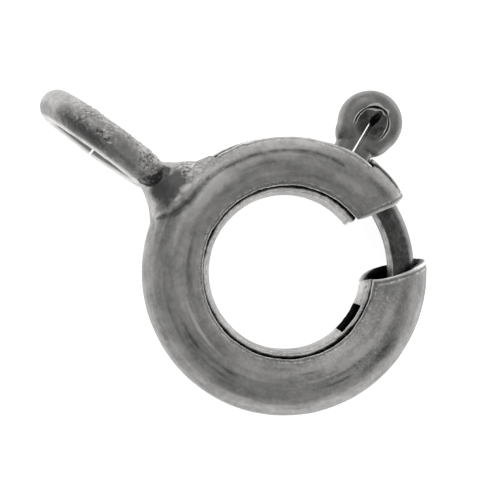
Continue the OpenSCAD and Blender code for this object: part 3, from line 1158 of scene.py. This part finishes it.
@dataclass
class SlidingBolt:
    """The sliding bolt of half-round wire, with its folded thumb lever."""

    sizes: RingSizes
    wire_w: float = 0.74
    wire_t: float = 0.52
    corner_power: float = 0.22
    tip_run: float = 2.0
    stations: int = 120
    bolt_gap: float = 0.13
    lean_deg: float = 7.2
    eye_r: float = 0.67
    eye_rise: float = 0.62
    eye_side: float = 0.1
    heel_r: float = 0.54
    heel_rise: float = 0.36
    sole_r: float = 0.55
    sole_rise: float = 0.43
    sole_side: float = 0.05
    stem_w: float = 0.78
    stem_side: float = 0.17
    disc_slack: float = 0.02
    stem_slack: float = 0.026
    face_step: float = 0.004
    slit_len: float = 0.6
    slit_root: float = 0.055
    slit_tip: float = 0.032
    slit_lean: float = 6.5
    pit_rise: float = 0.70
    pit_side: float = 0.067
    voxel: float = 0.016
    fold_line: tuple[FoldPoint, ...] = (
        FoldPoint(124, 0.40, 0.016, 0.0),
        FoldPoint(112, 0.36, 0.018, 0.7),
        FoldPoint(76, 0.322, 0.016, 0.8),
        FoldPoint(50, 0.316, 0.012, 0.5),
        FoldPoint(34, 0.318, 0.024, 1.0),
        FoldPoint(8, 0.325, 0.036, 1.2),
        FoldPoint(-14, 0.345, 0.018, 0.7),
        FoldPoint(-30, 0.346, 0.030, 1.0),
        FoldPoint(-42, 0.340, 0.012, 0.2),
        FoldPoint(-60, 0.339, 0.015, 0.7),
        FoldPoint(-100, 0.344, 0.018, 0.8),
        FoldPoint(-128, 0.378, 0.014, 0.6),
        FoldPoint(-148, 0.420, 0.012, 0.0),
    )

    @property
    def bolt_r(self) -> float:
        """Radius of the bolt wire's middle."""
        return self.sizes.path_r + self.sizes.bore_r - self.bolt_gap - self.wire_t / 2

    def arc(self) -> bpy.types.Object:
        """Draw the half-round wire from its tip to its tail."""
        half = self.wire_w / 2
        back = self.wire_t / 2 - half
        shoulder_deg = self.sizes.tip_deg + self.tip_run
        bpy.ops.mesh.primitive_circle_add(vertices=64, radius=1)
        arc = bpy.context.object

        def half_round(point: Vector, _normal: Vector) -> Vector:
            if point.x >= 0:
                return Vector((back + half * point.x, half * point.y, 0))
            across = math.copysign(abs(point.y) ** self.corner_power, point.y)
            inwards = (self.wire_t - half) * abs(point.x) ** self.corner_power
            return Vector((back - inwards, half * across, 0))

        shape_points(arc, half_round)
        place(arc, turn(shoulder_deg) @ shift(self.bolt_r) @ turn(90, "X"))
        with editing(arc):
            spin(self.stations, self.sizes.tail_deg - shoulder_deg)
            bpy.ops.mesh.select_all(action="SELECT")
            bpy.ops.mesh.fill_holes(sides=0)
            first = turn(shoulder_deg) @ Vector((self.bolt_r, 0, 0))
            select_faces(arc, lambda middle, _normal: (middle - first).length < 0.1)
            tip = turn(self.sizes.tip_deg) @ Vector((self.bolt_r, 0, 0))
            bpy.ops.mesh.extrude_region_move(TRANSFORM_OT_translate={"value": tip - first})
            bpy.ops.transform.resize(value=(0.7, 0.7, 0.8), center_override=tip)
        close_ends(arc)
        return arc

    def disc(self, radius: float, rise: float, side: float, thick: float) -> bpy.types.Object:
        """Press a flat disc with a round rim.

        Args:
            radius: The disc's radius.
            rise: Its centre's height above the ring.
            side: Its centre's place off the lever's middle line.
            thick: Its thickness.

        Returns:
            The disc in the lever's own place.
        """
        bpy.ops.mesh.primitive_cylinder_add(vertices=96, radius=radius, depth=thick)
        disc = bpy.context.object
        with editing(disc, Pick.LINES):
            select_lines(disc, lambda one, two: abs(one.z - two.z) < 0.01)
            bpy.ops.mesh.bevel(offset=0.36 * thick, segments=8, profile=0.5, affect="EDGES")
        place(disc, shift(rise, side))
        return disc

    def stem(self) -> bpy.types.Object:
        """Draw the two legs, from the bolt up to the heel."""
        thick = self.wire_w - self.stem_slack
        sink = self.sizes.ring_r - self.bolt_r
        bpy.ops.mesh.primitive_cube_add(size=1)
        stem = bpy.context.object
        stem.scale = (sink + self.heel_rise, self.stem_w, thick)
        place(stem, shift((self.heel_rise - sink) / 2, self.stem_side))
        with editing(stem, Pick.LINES):
            select_lines(stem, lambda one, two: abs(one.x - two.x) > 0.1)
            bpy.ops.mesh.bevel(offset=0.3 * thick, segments=6, affect="EDGES")
        return stem

    def lever_place(self) -> Matrix:
        """Return the placing of the lever's own frame: X outwards, Y away from the gap."""
        return turn(self.sizes.lever_deg) @ shift(self.sizes.ring_r) @ turn(self.lean_deg)

    def crease_depth(self, rise: float, side: float) -> float:
        """Return the depth of the fold's crease and pit at a place on the lever's face.

        Args:
            rise: Height above the ring.
            side: Place off the lever's middle line.

        Returns:
            A depth in millimetres, below 0 where a lip stands up.
        """
        groove, off = self.fold_at(rise, side)
        depth = 0.0
        if groove:
            depth += 0.035 * groove.depth * hill(off, groove.width)
            depth -= 0.012 * groove.depth * self.fold_lip(groove, off)
        reach = math.hypot(rise - self.eye_rise, side - self.eye_side)
        depth += 0.03 * (1 - smooth_step(0.26, 0.34, reach))
        depth += 0.12 * self.pit_share(rise, side)
        if rise < 0.72:
            depth += 0.045 * hill(side - self.slit_middle(rise), 0.07)
        return depth

    def pit_share(self, rise: float, side: float) -> float:
        """Return how deep in the pit at the slit's end a place is, from 0 to 1."""
        up = rise - self.pit_rise
        return 1 - smooth_step(0.01, 0.1, math.hypot(up / 2.2, side - self.pit_side + 0.25 * up))

    def fold_at(self, rise: float, side: float) -> tuple[FoldPoint | None, float]:
        """Return the fold's groove beside a place on the lever, and the distance from it.

        Args:
            rise: Height above the ring.
            side: Place off the lever's middle line.

        Returns:
            The groove as it is there, or None past its ends, and how far outside it the place lies.
        """
        along, across = rise - self.eye_rise, side - self.eye_side
        angle = math.degrees(math.atan2(across, along))
        for one, two in zip(self.fold_line, self.fold_line[1:]):
            if one.angle >= angle >= two.angle:
                share = (one.angle - angle) / (one.angle - two.angle)
                groove = FoldPoint(*(first + share * (last - first) for first, last in zip(one, two)))
                return groove, math.hypot(along, across) - groove.radius
        return None, 0.0

    def fold_lip(self, groove: FoldPoint, off: float) -> float:
        """Return the share of the raised lips at a distance from the groove."""
        outer = hill(off - groove.width - 0.018, 0.026)
        return outer + 0.6 * hill(off + groove.width + 0.012, 0.02)

    def slit_middle(self, rise: float) -> float:
        """Return the slit's place off the lever's middle line at a height above the ring."""
        share = min(1.0, max(0.0, rise / self.slit_len))
        return self.stem_side + share * (self.eye_side - self.stem_side)

    def fold(self, point: Vector, normal: Vector) -> Vector:
        """Press the fold's crease into both faces of the lever."""
        local = self.lever_place().inverted() @ point
        if local.x < 0.02:
            return point
        level = smooth_step(0.5, 0.9, abs(normal.z))
        depth = self.crease_depth(local.x, local.y) * level
        return point - Vector((0, 0, math.copysign(depth, point.z)))

    def worn(self, point: Vector) -> float:
        """Return how bright the painted highlight, with some wear, is along the wire's inner side."""
        inner = self.bolt_r - self.wire_t / 2
        radius = math.hypot(point.x, point.y)
        patchy = 0.5 + 0.9 * rough(point, 7.0, 19.0)
        return patchy * (1 - smooth_step(inner + 0.004, inner + 0.03, radius))

    def tone(self, point: Vector) -> float:
        """Return how much lighter or darker than plain a point is, with painted shade and highlights.
        """
        local = self.lever_place().inverted() @ point
        patchy = 0.2 * rough(point, 3.0, 29.0)
        if local.x <= 0.02:
            # Painted highlight on the wire's outer round side, and a painted highlight with some wear
            # along its inner rim
            side = smooth_step(0.1, 0.2, math.hypot(point.x, point.y) - self.bolt_r)
            bare = smooth_step(34, 44, self.sizes.locate(point).azimuth)
            return 0.5 * side * bare + 0.75 * self.worn(point) + patchy - 0.42
        # Painted shade inside the fold's eye, at the pit, at the root and under the sole, and painted
        # highlights on the outer band, the top and the glint
        across = local.y - self.eye_side
        reach = math.hypot(local.x - self.eye_rise, across)
        top = smooth_step(0.1, self.eye_r, local.x - 0.9)
        glint = hill(across - 0.1, 0.25) * smooth_step(0.8, 0.9, local.x)
        tone = 0.5 * smooth_step(0.3, 0.42, reach) + 0.16 * top
        tone += 0.2 * hill(reach - 0.42, 0.05) * glint
        tone -= 0.3 + 0.6 * self.pit_share(local.x, local.y)
        root = hill(local.x - 0.12, 0.3) * smooth_step(0.2, 0.4, local.y)
        sole = hill(local.x + 0.02, 0.16) * (1 - smooth_step(-0.1, 0.1, local.y))
        return tone - 0.3 * root - 0.6 * sole + 0.25 * rough(point, 3.5, 29.0)

    def mark_fold(self, bolt: bpy.types.Object) -> None:
        """Store where the fold's groove runs, in shares of its half width, and how deep it is."""
        inverse = self.lever_place().inverted()

        def across(point: Vector) -> float:
            local = inverse @ point
            groove, off = self.fold_at(local.x, local.y)
            return max(-6.0, min(6.0, off / groove.width)) if groove else 6.0

        def share(point: Vector) -> float:
            local = inverse @ point
            groove = self.fold_at(local.x, local.y)[0]
            return groove.depth if groove and local.x > 0.02 else 0.0

        mark(bolt, Mark.FOLD, across)
        mark(bolt, Mark.FOLD_SHARE, share)

    def cut_slit(self, bolt: bpy.types.Object) -> None:
        """Cut the slit between the legs."""
        root = self.sizes.ring_r - self.bolt_r - self.wire_t / 2 - self.bolt_gap / 2
        bpy.ops.mesh.primitive_cube_add(size=1)
        saw = bpy.context.object
        saw.scale = (self.slit_len + root, self.slit_root, 2)
        place(saw, shift((self.slit_len - root) / 2))

        def taper(point: Vector, _normal: Vector) -> Vector:
            share = smooth_step(-root, self.slit_len, point.x)
            width = 1 + share * (self.slit_tip / self.slit_root - 1)
            lean = point.z * math.tan(math.radians(self.slit_lean))
            return Vector((point.x, self.slit_middle(point.x) + point.y * width + lean, point.z))

        shape_points(saw, taper)
        place(saw, self.lever_place())
        cut_with(bolt, saw)

    def build(self) -> bpy.types.Object:
        """Model the bolt and its lever as one skin.

        Returns:
            The piece in the ring's own plane, in millimetres.
        """
        thick = self.wire_w - self.disc_slack
        bolt = self.arc()
        for part in (
            self.disc(self.eye_r, self.eye_rise, self.eye_side, thick),
            self.disc(self.heel_r, self.heel_rise, self.stem_side, thick - self.face_step),
            self.disc(self.sole_r, self.sole_rise, self.sole_side, thick - 2 * self.face_step),
            self.stem(),
        ):
            place(part, self.lever_place())
            unite(bolt, part)
        bolt.name = "sliding_bolt"
        bolt.data.name = bolt.name
        finish_with(bolt, "REMESH", mode="VOXEL", voxel_size=self.voxel)
        finish_with(bolt, "SMOOTH", factor=0.5, iterations=4)
        shape_points(bolt, self.fold)
        self.cut_slit(bolt)
        mark_all(bolt, Mark.BORE_SHADE, 0.0)
        mark_all(bolt, Mark.EDGE, EDGE_RUN)
        self.mark_fold(bolt)
        mark(bolt, Mark.TONE, self.tone)
        mark_all(bolt, Mark.PITTED, 0.04)
        mark_along(bolt, self.sizes)
        smooth(bolt)
        return bolt


@dataclass
class CoilSpring:
    """The coil spring in the tube, between the tongue and the bolt's tail."""

    sizes: RingSizes
    wire_r: float = 0.065
    gap: float = 0.08
    open_turns: int = 20
    end_turns: int = 1
    start_deg: float = -17.0
    end_deg: float = -237.0

    @property
    def all_turns(self) -> int:
        """Number of turns, the close ones at both ends counted in."""
        return self.open_turns + 2 * self.end_turns

    @property
    def coil_r(self) -> float:
        """Radius of the coil's centre line."""
        return self.sizes.bore_r - self.gap - self.wire_r

    def azimuth(self, turns: float) -> float:
        """Return the azimuth of a turn, with the end turns lying close together."""
        close = math.degrees(2 * self.wire_r / self.sizes.path_r)
        if turns < self.end_turns:
            return self.start_deg - close * turns / self.end_turns
        if turns > self.all_turns - self.end_turns:
            return self.end_deg + close * (self.all_turns - turns) / self.end_turns
        share = (turns - self.end_turns) / self.open_turns
        return self.start_deg - close + share * (self.end_deg - self.start_deg + 2 * close)

    def build(self) -> bpy.types.Object:
        """Wind the coil straight, and bend it round the ring.

        Returns:
            The spring in the ring's own plane, in millimetres.
        """
        bpy.ops.mesh.primitive_circle_add(vertices=10, radius=self.wire_r, fill_type="NGON")
        coil = bpy.context.object
        place(coil, shift(self.coil_r) @ turn(90, "X"))
        finish_with(
            coil,
            "SCREW",
            axis="Z",
            screw_offset=1,
            iterations=self.all_turns,
            steps=28,
            render_steps=28,
            use_merge_vertices=True,
            merge_threshold=MERGE,
        )

        def bent(point: Vector, _normal: Vector) -> Vector:
            around = math.atan2(point.y, point.x)
            share = around / math.tau
            turns = min(float(self.all_turns), max(0.0, round(point.z - share) + share))
            off = point.z - turns
            reach = math.hypot(point.x, point.y)
            azimuth = math.radians(self.azimuth(turns)) - off / self.sizes.path_r
            radius = self.sizes.path_r + reach * math.cos(around)
            height = reach * math.sin(around)
            return Vector((radius * math.cos(azimuth), radius * math.sin(azimuth), height))

        shape_points(coil, bent)
        with editing(coil):
            bpy.ops.mesh.normals_make_consistent(inside=False)
        coil.name = "coil_spring"
        smooth(coil, 60)
        return coil


@dataclass
class Shader:
    """A small helper that lays out one material's nodes."""

    material: bpy.types.Material

    @classmethod
    def new(cls, name: str) -> "Shader":
        """Start a material with nothing but its output and a Principled shader."""
        material = bpy.data.materials.new(name)
        material.use_nodes = True
        return cls(material)

    @property
    def nodes(self) -> bpy.types.Nodes:
        """The material's nodes."""
        return self.material.node_tree.nodes

    @property
    def surface(self) -> bpy.types.Node:
        """The Principled shader."""
        return self.nodes["Principled BSDF"]

    def link(self, source: bpy.types.NodeSocket, target: bpy.types.NodeSocket) -> None:
        """Join one socket to another."""
        self.material.node_tree.links.new(source, target)

    def fill(self, socket: bpy.types.NodeSocket, value: object) -> None:
        """Give a socket a value, or join it to another socket."""
        if isinstance(value, bpy.types.NodeSocket):
            self.link(value, socket)
        else:
            socket.default_value = value

    def attribute(self, name: Mark) -> bpy.types.Node:
        """Read one of the marks that the pieces carry."""
        node = self.nodes.new("ShaderNodeAttribute")
        node.attribute_name = name.value
        return node

    def math(self, operation: str, one: object, two: object = 0.0) -> bpy.types.NodeSocket:
        """Work out one number from two."""
        node = self.nodes.new("ShaderNodeMath")
        node.operation = operation
        self.fill(node.inputs[0], one)
        self.fill(node.inputs[1], two)
        return node.outputs[0]

    def total(self, *values: object) -> bpy.types.NodeSocket:
        """Add up several numbers."""
        return reduce(lambda one, two: self.math("ADD", one, two), values)

    def product(self, *values: object) -> bpy.types.NodeSocket:
        """Multiply several numbers."""
        return reduce(lambda one, two: self.math("MULTIPLY", one, two), values)

    def swing(self, value: object, width: float) -> bpy.types.NodeSocket:
        """Turn a number about 0.5 into one about 0, width wide."""
        return self.math("MULTIPLY", self.math("SUBTRACT", value, 0.5), width)

    def scaled(self, vector: object, by: tuple[float, float, float]) -> bpy.types.NodeSocket:
        """Multiply a vector by three factors."""
        node = self.nodes.new("ShaderNodeVectorMath")
        node.operation = "MULTIPLY"
        self.fill(node.inputs[0], vector)
        self.fill(node.inputs[1], by)
        return node.outputs[0]

    def millimetres(self) -> bpy.types.NodeSocket:
        """Return the place on the object, in millimetres."""
        node = self.nodes.new("ShaderNodeTexCoord")
        return self.scaled(node.outputs["Object"], (1 / MM, 1 / MM, 1 / MM))

    def bell(self, value: object, middle: float, half: float) -> bpy.types.NodeSocket:
        """Return 1 where a number is middle, falling to 0 at half on both sides."""
        off = self.math("ABSOLUTE", self.math("SUBTRACT", value, middle))
        return self.ramp(off, (0.0, 1.0), (half, 0.0))

    def noise(
        self, vector: object, scale: float, detail: float = 4, rough: float = 0.5, bend: float = 0.0
    ) -> bpy.types.NodeSocket:
        """Return smooth noise with features of 1/scale."""
        node = self.nodes.new("ShaderNodeTexNoise")
        self.fill(node.inputs["Vector"], vector)
        node.inputs["Scale"].default_value = scale
        node.inputs["Detail"].default_value = detail
        node.inputs["Roughness"].default_value = rough
        node.inputs["Distortion"].default_value = bend
        return node.outputs["Fac"]

    def ramp(
        self, value: object, low: tuple[float, float], high: tuple[float, float]
    ) -> bpy.types.NodeSocket:
        """Map low[0]..high[0] to low[1]..high[1] and hold the ends."""
        node = self.nodes.new("ShaderNodeMapRange")
        node.clamp = True
        self.fill(node.inputs["Value"], value)
        node.inputs["From Min"].default_value = low[0]
        node.inputs["From Max"].default_value = high[0]
        node.inputs["To Min"].default_value = low[1]
        node.inputs["To Max"].default_value = high[1]
        return node.outputs[0]

    def mix(self, share: object, one: object, two: object) -> bpy.types.NodeSocket:
        """Mix two colours."""
        node = self.nodes.new("ShaderNodeMix")
        node.data_type = "RGBA"
        self.fill(node.inputs[0], share)
        self.fill(node.inputs[6], one)
        self.fill(node.inputs[7], two)
        return node.outputs[2]

    def bump(self, height: object, depth_mm: float, strength: float = 1.0) -> None:
        """Raise the surface by a height map.

        Args:
            height: Height from 0 to 1.
            depth_mm: Height of 1, in millimetres.
            strength: Share of the effect.
        """
        node = self.nodes.new("ShaderNodeBump")
        node.inputs["Strength"].default_value = strength
        node.inputs["Distance"].default_value = depth_mm * MM
        self.fill(node.inputs["Height"], height)
        self.link(node.outputs[0], self.surface.inputs["Normal"])


def grey(value: float, warm: float = 0.0) -> tuple[float, float, float, float]:
    """Return a grey with a little warmth, as a colour."""
    return (value * (1 + warm), value, value * (1 - warm), 1.0)


class Patterns(NamedTuple):
    """The patterns and marks that the layers of one silver share."""

    place_mm: bpy.types.NodeSocket
    along: bpy.types.NodeSocket
    pitted: bpy.types.NodeSocket
    streak: bpy.types.NodeSocket
    cloud: bpy.types.NodeSocket
    mottle: bpy.types.NodeSocket
    grain: bpy.types.NodeSocket
    speck: bpy.types.NodeSocket


@dataclass(frozen=True)
class TarnishedSilver:
    """Oxidised silver: streaks along the tube, dark stains, fine pits, worn lips with painted
    highlights, and painted shade in the gutters and the bore.
    """

    name: str
    light: float
    dark: float
    # Colour of the worn lips, with a painted highlight on them
    lip: float
    # Colour of the nearly black painted shade in the bore and in the fold's groove
    bore: float = 0.012
    matt: float = 0.34
    dull: float = 0.5
    relief_mm: float = 0.0022

    def fold_lines(self, shader: Shader, colour: object, wavy: object) -> bpy.types.NodeSocket:
        """Draw the lines of a fold over a colour; plain tube has none."""
        return colour

    def patterns(self, shader: Shader) -> Patterns:
        """Lay out the patterns that several layers read."""
        place_mm = shader.millimetres()
        along = shader.attribute(Mark.ALONG).outputs["Vector"]
        return Patterns(
            place_mm=place_mm,
            along=along,
            pitted=shader.attribute(Mark.PITTED).outputs["Fac"],
            streak=shader.noise(shader.scaled(along, (2.4, 20.0, 0.0)), 1.0, 4, 0.6, 0.3),
            cloud=shader.noise(place_mm, 2.6, 5, 0.65),
            mottle=shader.noise(place_mm, 11.0, 3, 0.6),
            grain=shader.noise(place_mm, 24.0, 3, 0.6),
            speck=shader.ramp(shader.noise(place_mm, 24.0, 3, 0.65), (0.58, 0.0), (0.63, 1.0)),
        )

    def tarnish(self, shader: Shader, seen: Patterns) -> bpy.types.NodeSocket:
        """Mix the dark and the light silver by the bands, clouds and marked tones."""
        band = shader.noise(shader.scaled(seen.along, (0.7, 4.2, 0.0)), 1.0, 4, 0.6, 0.5)
        tone = shader.total(
            0.5,
            shader.swing(band, 0.85),
            shader.swing(seen.streak, 0.14),
            shader.swing(seen.cloud, 0.75),
            shader.swing(seen.mottle, 0.42),
            shader.swing(seen.grain, 0.3),
            shader.attribute(Mark.TONE).outputs["Fac"],
            shader.product(seen.speck, seen.pitted, 1.1),
        )
        share = shader.ramp(tone, (0, 0), (1, 1))
        return shader.mix(share, grey(self.dark, 0.012), grey(self.light, 0.014))

    def rims(self, shader: Shader, seen: Patterns, colour: object) -> bpy.types.NodeSocket:
        """Draw the worn lip along each rim with a painted highlight, and the gutter of painted shade
        and the painted highlight of a second lip beside it.
        """
        edge = shader.attribute(Mark.EDGE).outputs["Fac"]
        wavy = shader.total(edge, shader.swing(seen.mottle, 0.05), shader.swing(seen.grain, 0.05))
        in_clouds = shader.ramp(seen.cloud, (0.4, 0.0), (0.55, 0.6))
        # Painted shade in the gutter beside the lip
        gutter = shader.product(shader.bell(wavy, 0.085, 0.022), in_clouds)
        colour = shader.mix(gutter, colour, grey(self.dark * 0.5))
        in_mottle = shader.ramp(seen.mottle, (0.45, 0.0), (0.58, 0.6))
        # Painted highlights on a second lip and on the worn lip at the rim
        second = shader.product(shader.bell(wavy, 0.125, 0.02), in_mottle)
        lip = shader.math("MAXIMUM", shader.ramp(wavy, (0.03, 1.0), (0.06, 0.0)), second)
        colour = shader.mix(lip, colour, grey(self.lip, 0.01))
        return self.fold_lines(shader, colour, wavy)

    def gloss(self, shader: Shader, seen: Patterns) -> bpy.types.NodeSocket:
        """Return the roughness, which changes with the streaks and the grain."""
        middle = (self.matt + self.dull) / 2
        gloss = shader.total(middle, shader.swing(seen.streak, 0.3), shader.swing(seen.grain, 0.3))
        return shader.ramp(gloss, (self.matt, self.matt), (self.dull, self.dull))

    def relief(self, shader: Shader, seen: Patterns) -> bpy.types.NodeSocket:
        """Return the height of the fine pits, streaks and specks."""
        pits = shader.ramp(shader.noise(seen.place_mm, 19.0, 2, 0.5), (0.3, 0.0), (0.42, 1.0))
        return shader.total(
            shader.product(shader.noise(seen.place_mm, 45.0, 3, 0.6), 0.8),
            shader.product(seen.streak, 0.6),
            shader.product(pits, seen.pitted, 2.0),
            shader.product(seen.speck, seen.pitted, 1.5),
        )

    def make(self) -> bpy.types.Material:
        """Make the material."""
        shader = Shader.new(self.name)
        seen = self.patterns(shader)
        colour = self.rims(shader, seen, self.tarnish(shader, seen))
        # Painted shade: the bore is painted nearly black
        colour = shader.mix(shader.attribute(Mark.BORE_SHADE).outputs["Fac"], colour, grey(self.bore))
        shader.link(colour, shader.surface.inputs["Base Color"])
        shader.surface.inputs["Metallic"].default_value = 1.0
        shader.link(self.gloss(shader, seen), shader.surface.inputs["Roughness"])
        shader.bump(self.relief(shader, seen), self.relief_mm)
        return shader.material


@dataclass(frozen=True)
class FoldedSilver(TarnishedSilver):
    """The bolt's darker silver, with painted shade in the groove of the lever's fold and painted
    highlights on its lips.
    """

    def fold_lines(self, shader: Shader, colour: object, wavy: object) -> bpy.types.NodeSocket:
        """Paint the fold's groove in shade and its two lips in highlight over a colour."""
        fold = shader.attribute(Mark.FOLD).outputs["Fac"]
        across = shader.total(fold, shader.swing(wavy, 3.0), 0.6)
        share = shader.attribute(Mark.FOLD_SHARE).outputs["Fac"]
        # Painted highlights on the two lips
        lips = shader.math(
            "MAXIMUM", shader.bell(across, 1.9, 1.1), shader.bell(across, -1.7, 0.8)
        )
        lips = shader.ramp(shader.product(lips, share), (0.1, 0.0), (0.6, 1.0))
        colour = shader.mix(lips, colour, grey(self.lip, 0.01))
        # Painted shade in the groove
        groove = shader.product(shader.bell(across, 0.0, 1.0), share)
        groove = shader.ramp(groove, (0.2, 0.0), (0.6, 1.0))
        return shader.mix(groove, colour, grey(self.bore))


@dataclass(frozen=True)
class SpringSteel:
    """Drawn spring wire, dull and dark inside the tube."""

    name: str = "spring_wire"
    colour: float = 0.25

    def make(self) -> bpy.types.Material:
        """Make the material."""
        shader = Shader.new(self.name)
        cloud = shader.noise(shader.millimetres(), 6.0, 4, 0.6)
        colour = shader.mix(cloud, grey(self.colour * 0.6), grey(self.colour, 0.01))
        shader.link(colour, shader.surface.inputs["Base Color"])
        shader.surface.inputs["Metallic"].default_value = 1.0
        shader.link(shader.ramp(cloud, (0.3, 0.3), (0.7, 0.5)), shader.surface.inputs["Roughness"])
        shader.bump(cloud, 0.004)
        return shader.material


@dataclass(frozen=True)
class PaleFloor:
    """The plain pale surface that the clasp lies on."""

    name: str = "pale_floor"
    colour: float = 0.9
    glow: float = 0.79

    def make(self) -> bpy.types.Material:
        """Make the material."""
        shader = Shader.new(self.name)
        surface = shader.surface
        surface.inputs["Base Color"].default_value = grey(self.colour)
        surface.inputs["Roughness"].default_value = 0.9
        surface.inputs["Specular IOR Level"].default_value = 0.0
        surface.inputs["Emission Color"].default_value = grey(1.0)
        surface.inputs["Emission Strength"].default_value = self.glow
        return shader.material


@dataclass
class Studio:
    """The floor, the soft light and the camera."""

    floor_half: float = 0.4
    distance: float = 100.0
    camera_x: tuple[float, float, float] = (0.8131, 0.5821, 0.0014)
    camera_y: tuple[float, float, float] = (-0.5816, 0.8124, 0.0419)
    frame_right: float = -0.722
    frame_up: float = 0.459
    lens: float = 344.9
    soft_box_place: tuple[float, float, float] = (-0.14, 0.12, 0.25)
    soft_box_side: float = 0.26
    soft_box_power: float = 0.07

    def camera(self) -> None:
        """Set the camera at the photograph's angle."""
        data = bpy.data.cameras.new("camera")
        data.lens = self.lens
        data.sensor_width = 36.0
        data.clip_start = 0.005
        data.clip_end = 5.0
        camera = bpy.data.objects.new("camera", data)
        bpy.context.scene.collection.objects.link(camera)
        right, up = Vector(self.camera_x), Vector(self.camera_y)
        back = right.cross(up).normalized()
        up = back.cross(right).normalized()
        eye = back * self.distance + right * self.frame_right + up * self.frame_up
        matrix = Matrix((right.normalized(), up, back)).transposed().to_4x4()
        matrix.translation = eye * MM
        camera.matrix_world = matrix
        bpy.context.scene.camera = camera

    def floor(self, level: float) -> None:
        """Lay the floor at the clasp's lowest point."""
        bpy.ops.mesh.primitive_plane_add(size=2 * self.floor_half, location=(0, 0, level))
        floor = bpy.context.object
        floor.name = "floor"
        floor.data.materials.append(PaleFloor().make())

    def sky(self) -> None:
        """Give a soft light from all sides, brighter beyond the clasp and darker in front."""
        world = bpy.data.worlds.new("soft_light")
        bpy.context.scene.world = world
        world.use_nodes = True
        nodes, links = world.node_tree.nodes, world.node_tree.links
        coords = nodes.new("ShaderNodeTexCoord")
        dot = nodes.new("ShaderNodeVectorMath")
        dot.operation = "DOT_PRODUCT"
        links.new(coords.outputs["Generated"], dot.inputs[0])
        dot.inputs[1].default_value = self.camera_y
        ramp = nodes.new("ShaderNodeValToRGB")
        links.new(dot.outputs["Value"], ramp.inputs[0])
        ramp.color_ramp.elements[0].position = 0.0
        ramp.color_ramp.elements[0].color = grey(0.35)
        ramp.color_ramp.elements[1].position = 0.8
        ramp.color_ramp.elements[1].color = grey(0.54)
        links.new(ramp.outputs[0], nodes["Background"].inputs["Color"])
        nodes["Background"].inputs["Strength"].default_value = 1.0

    def lamp(self, name: str, place_m: Vector, size: float, power: float) -> None:
        """Hang a square soft lamp that shines at the clasp.

        Args:
            name: The lamp's name.
            place_m: Its place.
            size: Its side.
            power: Its power in watts.
        """
        data = bpy.data.lights.new(name, "AREA")
        data.size = size
        data.energy = power
        lamp = bpy.data.objects.new(name, data)
        bpy.context.scene.collection.objects.link(lamp)
        lamp.location = place_m
        lamp.rotation_euler = (-place_m).to_track_quat("-Z", "Y").to_euler()

    def build(self) -> None:
        """Set up the floor, the light and the camera."""
        bpy.context.scene.view_settings.view_transform = "Standard"
        self.camera()
        self.floor(CAD_BOUNDS[0][2])
        self.sky()
        place_m = Vector(self.soft_box_place)
        self.lamp("soft_box", place_m, self.soft_box_side, self.soft_box_power)


def settle(piece: bpy.types.Object, resting: Resting, material: bpy.types.Material) -> None:
    """Lay a finished piece down in the frame and give it its material."""
    place(piece, resting.matrix())
    piece.data.materials.clear()
    piece.data.materials.append(material)


def report(piece: bpy.types.Object) -> None:
    """Log a piece's size in faces."""
    log.info("%s: %d faces", piece.name, len(piece.data.polygons))


def main() -> None:
    """Build the clasp's pieces in order and set the scene."""
    logging.basicConfig(level=logging.INFO, format="%(name)s: %(message)s")
    resting = Resting(Vector(frame["joints"][0]["axis"]))
    sizes = RingSizes()
    ring_silver = TarnishedSilver("oxidised_silver", light=0.72, dark=0.16, lip=1.0).make()
    bolt_silver = FoldedSilver("bolt_silver", light=0.44, dark=0.07, lip=0.95).make()

    tube = RingTube(sizes).build()
    settle(tube, resting, ring_silver)
    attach(tube, Body.RING.value)
    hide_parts("ring_body")
    report(tube)

    eye = SolderedEye(sizes).build()
    settle(eye, resting, ring_silver)
    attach(eye, Body.RING.value)
    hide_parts("ring_body")
    report(eye)

    bolt = SlidingBolt(sizes).build()
    settle(bolt, resting, bolt_silver)
    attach(bolt, Body.SLIDER.value)
    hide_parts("bolt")
    report(bolt)

    spring = CoilSpring(sizes)
    coil = spring.build()
    settle(coil, resting, SpringSteel().make())
    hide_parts("spring")
    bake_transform(coil)
    report(coil)

    Studio().build()


if __name__ == "__main__":
    main()
